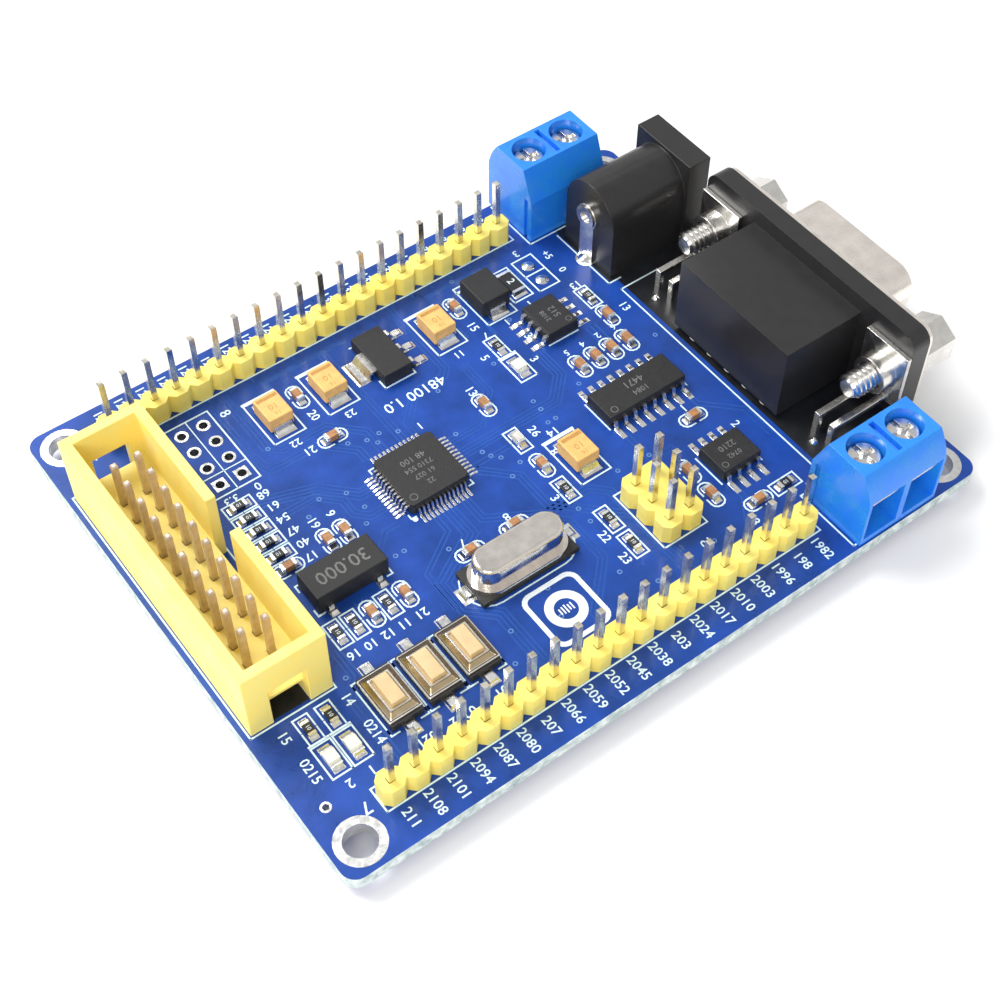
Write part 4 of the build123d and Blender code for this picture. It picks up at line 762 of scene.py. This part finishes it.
def tracks(bm):
    track(bm, [(-2.9, 4.4), (1.0, 4.4), (4.2, 7.6), (4.2, 12.0)], 3)
    track(bm, [(-2.9, 2.4), (9.0, 2.4), (11.6, 5.0), (11.6, 8.8)], 4)
    track(bm, [(-2.9, 0.4), (1.4, 0.4)], 2, 0.5)
    track(bm, [(-2.9, -0.2), (0.2, -3.3), (0.2, -7.8), (7.0, -14.6), (7.0, -22.6)], 3, 0.45)
    track(bm, [(-6.0, -2.5), (-6.0, -5.4), (-0.6, -8.6), (4.6, -8.6), (6.2, -10.2), (6.2, -22.8)], 3, 0.45)
    track(bm, [(-8.0, -2.5), (-8.0, -6.2), (-13.6, -9.4), (-13.6, -13.0), (-11.2, -15.4), (-11.2, -22.8)],
          4, 0.46)
    track(bm, [(-9.6, -2.5), (-9.6, -4.6), (-14.2, -7.6), (-14.2, -12.4)], 2, 0.45)
    track(bm, [(-12.9, 1.4), (-14.6, 1.4), (-15.8, 2.6), (-15.8, 4.6), (-17.8, 6.6), (-23.0, 6.6)], 3, 0.44)
    track(bm, [(-12.9, 4.2), (-14.0, 4.2), (-17.2, 7.4), (-23.0, 9.4)], 4, 0.44)
    track(bm, [(-11.0, 7.4), (-11.0, 9.0), (-14.0, 12.0), (-19.6, 12.0), (-20.2, 15.0), (-20.2, 23.0)], 3,
          0.44)
    track(bm, [(-9.0, 7.4), (-9.0, 10.6), (-12.0, 13.6), (-17.2, 13.6), (-18.4, 14.8), (-18.4, 23.2)], 3,
          0.44)
    track(bm, [(-6.6, 7.4), (-6.6, 11.4), (-6.6, 14.0), (-7.0, 23.4)], 3, 0.44)
    track(bm, [(-5.0, 7.4), (-5.0, 9.0), (-2.0, 12.0), (1.6, 12.0), (2.4, 12.8), (2.4, 23.4)], 3, 0.44)
    track(bm, [(-26.4, 9.0), (-27.2, 9.0), (-27.2, 2.2)], 3, 0.40)
    track(bm, [(-21.2, -6.2), (-21.2, -7.2)], 2, 0.9)
    track(bm, [(-13.0, -1.0), (-14.6, -1.0), (-16.2, -2.6), (-16.9, -2.6)], 2, 0.5)
    track(bm, [(9.6, 13.6), (9.6, 15.2), (13.4, 15.2)], 1, 0.4, 0.5)
    track(bm, [(-14.0, 20.6), (-14.0, 22.4), (-4.0, 22.4)], 1, 0.4, 0.7)
    track(bm, [(6.8, 15.2), (6.8, 22.4), (14.6, 22.4)], 1, 0.4, 0.6)
    track(bm, [(18.4, 5.9), (18.4, 8.4)], 3, 0.6)
    track(bm, [(12.0, -5.2), (12.0, -9.6), (14.6, -9.6), (15.0, -10.6)], 2, 0.5)
    track(bm, [(20.6, -5.2), (20.6, -6.6), (24.0, -10.0), (24.0, -14.0)], 2, 0.5)
    track(bm, [(16.4, -17.6), (16.4, -18.6), (13.6, -22.6)], 2, 0.5)
    track(bm, [(-4.0, -22.6), (-4.0, -20.6), (0.6, -16.0), (0.6, -10.6), (-1.2, -8.8)], 3, 0.45)
    track(bm, [(-30.0, -13.0), (-28.0, -11.0), (-28.0, -4.2), (-27.8, -1.0)], 3, 0.45)
    track(bm, [(-27.6, -22.8), (-27.6, -14.6), (-26.0, -13.0), (-26.0, -9.6)], 3, 0.45)
    for k in range(20):
        x = H_FIRST + PITCH * k
        segment(bm, (x, -23.4), (x, -22.6), 0.3, TOP - 0.004, TOP + 0.011)
        segment(bm, (x, 24.0), (x, 23.2), 0.3, TOP - 0.004, TOP + 0.011)


piece("covered_tracks", tracks, mask_trace)


# ------------------------------------------------------------------ white markings
INK0, INK1 = TOP - 0.004, TOP + 0.028
LINE = 0.17


def outlines(bm):
    def box(x0, y0, x1, y1, w=LINE):
        polyline(bm, [(x0, y0), (x1, y0), (x1, y1), (x0, y1)], w, INK0, INK1, True)

    def line(*pts, w=LINE):
        polyline(bm, list(pts), w, INK0, INK1)

    for y in rows_y:
        box(H_FIRST - 1.36, y - 1.36, H_FIRST + 19 * PITCH + 1.36, y + 1.36)
    box(6.05, -18.75, 11.45, -10.85)
    box(-37.15, -12.9, -28.05, 20.7)
    box(-25.95, 12.1, -20.7, 22.6)
    line((-23.3, 12.1), (-23.3, 22.6), w=0.12)
    line((-25.95, 14.85), (-20.7, 14.85), w=0.12)
    box(17.2, 15.75, 19.85, 21.0)
    line((17.2, 18.38), (19.85, 18.38))
    for x, y, turn in resistors + [bead]:
        p = local(x, y, turn)
        for s in (-1, 1):
            line(*turned_points([(s * 0.12, -0.78), (s * 1.58, -0.78), (s * 1.58, 0.78), (s * 0.12, 0.78)],
                                p))
    for x, y, turn in capacitors:
        p = local(x, y, turn)
        for s in (-1, 1):
            arc = [(s * 0.3, -0.78)]
            for k in range(7):
                a = math.radians(-90 + 30 * k)
                arc.append((s * (0.95 + 0.68 * math.cos(a)), 0.78 * math.sin(a)))
            arc.append((s * 0.3, 0.78))
            line(*turned_points(arc, p))
    for x, y, turn in leds:
        p = local(x, y, turn)
        line(*turned_points([(-1.85, -1.03), (1.85, -1.03), (1.85, 1.03), (-1.85, 1.03), (-1.85, -1.03)], p))
        line(*turned_points([(2.1, -1.03), (2.1, 1.03)], p), w=0.22)
    box(13.95, 16.0, 16.42, 20.9)
    for x, y in tantalums:
        box(x - 1.85, y - 3.1, x + 1.85, y + 3.1)
        line((x - 1.85, y + 3.3), (x + 1.85, y + 3.3), w=0.32)
    line((-4.15, 14.2), (-4.15, 15.4))
    line((-4.15, 14.2), (-0.4, 14.2), (-0.4, 14.8))
    line((-4.15, 21.1), (-0.4, 21.1))
    box(9.7, 15.0, 13.5, 21.6)
    line((9.7, 20.9), (13.5, 20.9), w=0.32)
    ring(bm, -11.35, -1.55, 0, 0.28, INK0, INK1)
    for sx in (-1, 1):
        for sy in (-1, 1):
            cx, cy = quad[0] + sx * 3.75, quad[1] + sy * 3.75
            line((cx, cy - sy * 0.55), (cx, cy), (cx - sx * 0.55, cy))
    line((11.1, -4.0), (11.1, 0.1))
    line((21.3, -4.0), (21.3, 0.1))
    line((13.2, 8.85), (17.0, 8.85))
    line((13.2, 13.85), (17.0, 13.85))
    line((15.65, -16.1), (15.65, -12.1))
    line((20.95, -16.1), (20.95, -12.1))
    line(*rounded(-12.75, -14.45, -0.25, -9.05, 2.5), w=0.16)
    line((-25.15, -5.45), (-24.4, -5.45))
    for sx in (-1, 1):
        for sy in (-1, 1):
            cx, cy = -20.95 + sx * 4.2, -3.4 + sy * 2.1
            line((cx, cy - sy * 0.8), (cx, cy), (cx - sx * 0.6, cy))
    for x, y in switches:
        for sx in (-1, 1):
            line((x + sx * 2.05, y - 3.0), (x + sx * 2.05, y + 3.0))
            for sy in (-1, 1):
                line((x + sx * 2.05, y + sy * 2.6), (x + sx * 2.05, y + sy * 3.3),
                     (x + sx * 1.2, y + sy * 3.3))
    line((24.55, 10.8), (24.55, -20.75))
    line((24.55, 10.8), (35.2, 10.8))
    line((24.55, -20.75), (35.2, -20.75))
    line((24.0, 12.25), (25.6, 12.25))
    line((24.0, 12.25), (24.0, 21.5))
    box(20.75, 22.2, 31.45, 29.6)
    box(20.95, -29.4, 31.75, -21.85)


piece("outline_markings", outlines, ink)


def patch(bm):
    """Plain ring and bars in a round-cornered frame, a generic filler for a maker's panel."""
    x, y = -5.9, -18.6
    polyline(bm, rounded(x - 3.0, y - 3.2, x + 3.0, y + 3.2, 1.0), 0.5, INK0, INK1, True)
    ring(bm, x, y, 1.2, 2.1, INK0, INK1 + 0.001, 40)
    for k in range(5):
        h = 0.35 + 0.08 * (k % 3)
        prism(bm, [(x - 0.75 + k * 0.34, y - h), (x - 0.6 + k * 0.34, y - h), (x - 0.6 + k * 0.34, y + h),
                   (x - 0.75 + k * 0.34, y + h)], INK0, INK1)


piece("plain_patch", patch, patch_ink)


def digits(name, labels, mat, z=TOP, thick=0.02, weight=0.012):
    """Number labels as one mesh: each is (x, y, turn, text, height in mm)."""
    joined = bmesh.new()
    for x, y, turn, text, tall in labels:
        curve = bpy.data.curves.new("digits", "FONT")
        curve.body = text
        curve.size = tall * 1.38
        curve.align_x = "CENTER"
        curve.align_y = "CENTER"
        curve.extrude = thick
        curve.offset = weight
        curve.resolution_u = 2
        holder = bpy.data.objects.new("digits", curve)
        collection.objects.link(holder)
        bpy.context.view_layer.update()
        mesh = bpy.data.meshes.new_from_object(holder.evaluated_get(bpy.context.evaluated_depsgraph_get()))
        place = Matrix.Translation((x, y, z)) @ Matrix.Rotation(math.radians(turn), 4, "Z")
        mesh.transform(place)
        joined.from_mesh(mesh)
        bpy.data.objects.remove(holder)
        bpy.data.curves.remove(curve)
        bpy.data.meshes.remove(mesh)

    def make(bm):
        mesh = bpy.data.meshes.new("joined")
        joined.to_mesh(mesh)
        bm.from_mesh(mesh)
        bpy.data.meshes.remove(mesh)
    made = piece(name, make, mat)
    joined.free()
    return made


labels = []
for k in range(20):
    labels.append((H_FIRST + PITCH * k, -27.75, -90, str(2115 - k * 7)[:4 if k % 6 else 3], 1.02))
    labels.append((H_FIRST + PITCH * k, 28.2, -90, str(1208 + k * 9)[:3 if k % 5 == 0 else 4], 1.02))
for k in range(5):
    labels.append((-21.7, 10.0 - 1.83 * k, 180, str(68 - 7 * k), 1.0))
labels += [(-21.9, 0.85, 180, "17", 1.0), (-24.78, -10.9, 180, "16", 1.0), (-22.88, -10.9, 180, "10", 1.0),
           (-20.93, -10.9, 180, "12", 1.0), (-19.1, -10.9, 180, "11", 1.0), (-17.15, -10.9, 180, "21", 1.0),
           (-19.65, 4.0, -90, "19", 1.0), (-17.7, 4.0, -90, "9", 1.0),
           (-24.8, -22.2, 180, "0213", 1.0), (-20.45, -22.2, 180, "0212", 1.0),
           (-16.15, -22.2, 180, "01", 1.0),
           (-34.7, -14.6, -90, "15", 1.0), (-27.9, -14.6, -90, "14", 1.0), (-34.6, -18.8, -90, "0215", 1.0),
           (-27.8, -18.8, -90, "0214", 1.0), (-32.4, -21.8, 180, "2", 1.0), (-30.1, -21.8, 180, "1", 1.0),
           (-32.6, -24.6, 180, "7", 1.3), (-24.6, 11.2, 180, "3.3", 1.0), (-21.6, 11.2, 180, "0", 1.0),
           (-19.4, 21.2, -90, "8", 1.2), (-32.8, 24.2, 180, "6", 1.2), (-15.6, 13.6, 180, "22", 0.9),
           (-9.0, 13.6, 180, "23", 0.9), (-12.2, 15.6, -90, "20", 1.0), (-15.0, 11.9, 180, "21", 1.0),
           (4.75, 13.6, 180, "11", 0.9), (8.2, 15.9, -90, "15", 1.0), (11.6, 14.3, 180, "1", 0.9),
           (15.2, 15.0, 180, "1", 1.0), (21.2, 17.0, -90, "0", 0.9), (21.2, 19.8, -90, "+5", 0.9),
           (18.5, 22.0, 180, "3", 1.0), (20.9, 14.3, 180, "13", 1.0), (23.2, 8.6, -90, "13", 1.0),
           (12.2, 11.3, -90, "3", 1.0), (8.6, 14.0, 180, "7", 1.0), (10.7, 8.3, -90, "3", 1.0),
           (6.6, 11.5, -90, "5", 1.0), (14.0, 7.0, 180, "5", 0.8), (16.1, 7.0, 180, "4", 0.8),
           (18.2, 7.0, 180, "2", 0.8), (20.3, 7.0, 180, "6", 0.8), (2.7, 8.6, -90, "13", 1.0),
           (4.7, 0.45, -90, "26", 1.0), (4.7, -2.9, -90, "8", 1.0), (1.2, -7.6, -90, "3", 1.0),
           (2.2, -14.2, -90, "22", 1.0), (2.2, -17.4, -90, "23", 1.0), (6.25, -0.7, 180, "14", 1.0),
           (-9.3, -6.6, 180, "7", 1.0), (-4.0, -6.6, 180, "8", 1.0), (-4.2, 8.0, 180, "1", 0.95),
           (19.0, -6.2, 180, "1", 1.0), (9.8, -20.6, 180, "10", 1.0), (12.2, -14.5, -90, "12", 1.0),
           (15.2, -21.2, -90, "18", 1.0), (22.8, -21.4, -90, "19", 1.0), (21.9, -11.0, -90, "2", 1.0),
           (33.4, -22.6, 180, "5", 1.0), (-2.2, 11.8, 180, "48100 1.0", 1.35)]
digits("number_markings", labels, ink, z=TOP + 0.006)

chip_z = {n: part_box(n)[1].z / MM for n in ("microcontroller_body", "line_driver_body", "small_chip_bodies",
                                            "clock_crystal_body", "regulator_body", "fuse_body",
                                            "tantalum_bodies")}
digits("microcontroller_marks", [(-7.9, 3.9, 180, "48 100", 0.75), (-7.9, 2.8, 180, "7310 554", 0.62),
                                 (-7.9, 1.7, 180, "61 027", 0.62), (-7.9, 0.6, 180, "22", 0.62)], laser,
       z=chip_z["microcontroller_body"], thick=0.004, weight=0.0)
digits("line_driver_marks", [(16.15, -1.3, 180, "4471", 0.9), (16.15, -2.6, 180, "1084", 0.7)], laser,
       z=chip_z["line_driver_body"], thick=0.004, weight=0.0)
digits("small_chip_marks", [(15.7, 11.35, 90, "512", 0.8), (14.5, 11.35, 90, "2108", 0.6),
                            (18.3, -13.5, 180, "2210", 0.75), (18.3, -14.7, 180, "0742", 0.6)],
       laser, z=chip_z["small_chip_bodies"], thick=0.004, weight=0.0)
digits("clock_crystal_mark", [(-20.95, -3.4, 180, "30.000", 1.55)], laser,
       z=chip_z["clock_crystal_body"], thick=0.004, weight=0.01)
resistor_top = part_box("resistor_bodies")[1].z / MM
digits("resistor_marks", [(x, y, turn + 180, "10", 0.42) for x, y, turn in resistors], patch_ink,
       z=resistor_top, thick=0.003, weight=0.0)
digits("fuse_mark", [(15.2, 18.45, -90, "2", 0.9)], patch_ink, z=chip_z["fuse_body"],
       thick=0.004)


def tantalum_marks(bm):
    z = chip_z["tantalum_bodies"]
    for x, y in tantalums:
        prism(bm, [(x - 1.2, y + 0.95), (x + 1.2, y + 0.95), (x + 1.2, y + 1.4), (x - 1.2, y + 1.4)],
              z - 0.01, z + 0.004)


piece("tantalum_bars", tantalum_marks, amber_dark)
digits("tantalum_marks", [(x, y - 0.1, 180, "10", 0.8) for x, y in tantalums]
       + [(x, y - 1.1, 180, "16", 0.55) for x, y in tantalums], amber_dark,
       z=chip_z["tantalum_bodies"], thick=0.004, weight=0.0)


def dimples(bm):
    """Pin-one marks moulded in the chips."""
    for x, y, z, r in ((quad[0] - 2.6, quad[1] - 2.6, chip_z["microcontroller_body"], 0.42),
                       (16.15 - 3.9, -1.95 - 1.2, chip_z["line_driver_body"], 0.4),
                       (15.1 + 1.2, 11.35 - 1.7, chip_z["small_chip_bodies"], 0.35),
                       (18.3 - 1.7, -14.1 - 1.2, chip_z["small_chip_bodies"], 0.35)):
        ring(bm, x, y, r * 0.82, r, z - 0.01, z + 0.005)


piece("pin_one_marks", dimples, laser)

# ------------------------------------------------------------------ ground, light and camera
ground = bpy.data.meshes.new("ground")
span, drop = 3.0, cad_low.z - 0.00002
ground.from_pydata([(-span, -span, drop), (span, -span, drop), (span, span, drop), (-span, span, drop)], [],
                   [(0, 1, 2, 3)])
ground.materials.append(floor_white)
ground_obj = bpy.data.objects.new("ground", ground)
collection.objects.link(ground_obj)

scene = bpy.context.scene
scene.view_settings.view_transform = "Standard"
world = bpy.data.worlds.new("studio")
scene.world = world
world.use_nodes = True
sky = world.node_tree
direction = sky.nodes.new("ShaderNodeTexCoord")
parts = sky.nodes.new("ShaderNodeSeparateXYZ")
sky.links.new(direction.outputs["Generated"], parts.inputs["Vector"])
height = sky.nodes.new("ShaderNodeMapRange")
height.inputs["From Min"].default_value = -1.0
height.inputs["From Max"].default_value = 1.0
sky.links.new(parts.outputs["Z"], height.inputs["Value"])
bands = sky.nodes.new("ShaderNodeValToRGB")
bands.color_ramp.elements[0].position = 0.46
bands.color_ramp.elements[0].color = (0.25, 0.25, 0.26, 1)
bands.color_ramp.elements[1].position = 1.0
bands.color_ramp.elements[1].color = (0.85, 0.85, 0.86, 1)
for place, level in ((0.52, 0.75), (0.62, 1.25), (0.80, 1.15)):
    stop = bands.color_ramp.elements.new(place)
    stop.color = (level, level, level, 1)
sky.links.new(height.outputs["Result"], bands.inputs["Fac"])
sky.links.new(bands.outputs["Color"], sky.nodes["Background"].inputs["Color"])
world.node_tree.nodes["Background"].inputs["Strength"].default_value = SKY_STRENGTH


def area(name, place, aim, size, power, colour=(1, 1, 1)):
    lamp = bpy.data.lights.new(name, "AREA")
    lamp.shape = "RECTANGLE"
    lamp.size, lamp.size_y = size
    lamp.energy = power
    lamp.color = colour
    obj = bpy.data.objects.new(name, lamp)
    collection.objects.link(obj)
    obj.location = place
    obj.rotation_euler = (Vector(aim) - Vector(place)).to_track_quat("-Z", "Y").to_euler()
    return obj


area("key_light", (-0.12, 0.28, 0.40), (0, 0, 0), (0.30, 0.24), KEY_POWER)
area("fill_light", (-0.30, -0.25, 0.30), (0, 0, 0), (0.25, 0.25), FILL_POWER)

camera_data = bpy.data.cameras.new("camera")
camera_data.lens = LENS
camera_data.sensor_width = 36.0
camera_data.clip_start = 0.01
camera = bpy.data.objects.new("camera", camera_data)
collection.objects.link(camera)
right = Vector((0.803758, -0.594955, 0.000663))
down = Vector((-0.473549, -0.640417, -0.604663))
ahead = Vector((0.360172, 0.485689, -0.796481))
turn = Matrix((right, -down, -ahead)).transposed()
camera.matrix_world = Matrix.Translation(Vector((-63.760, -86.107, 135.352)) * MM) @ turn.to_4x4()
scene.camera = camera
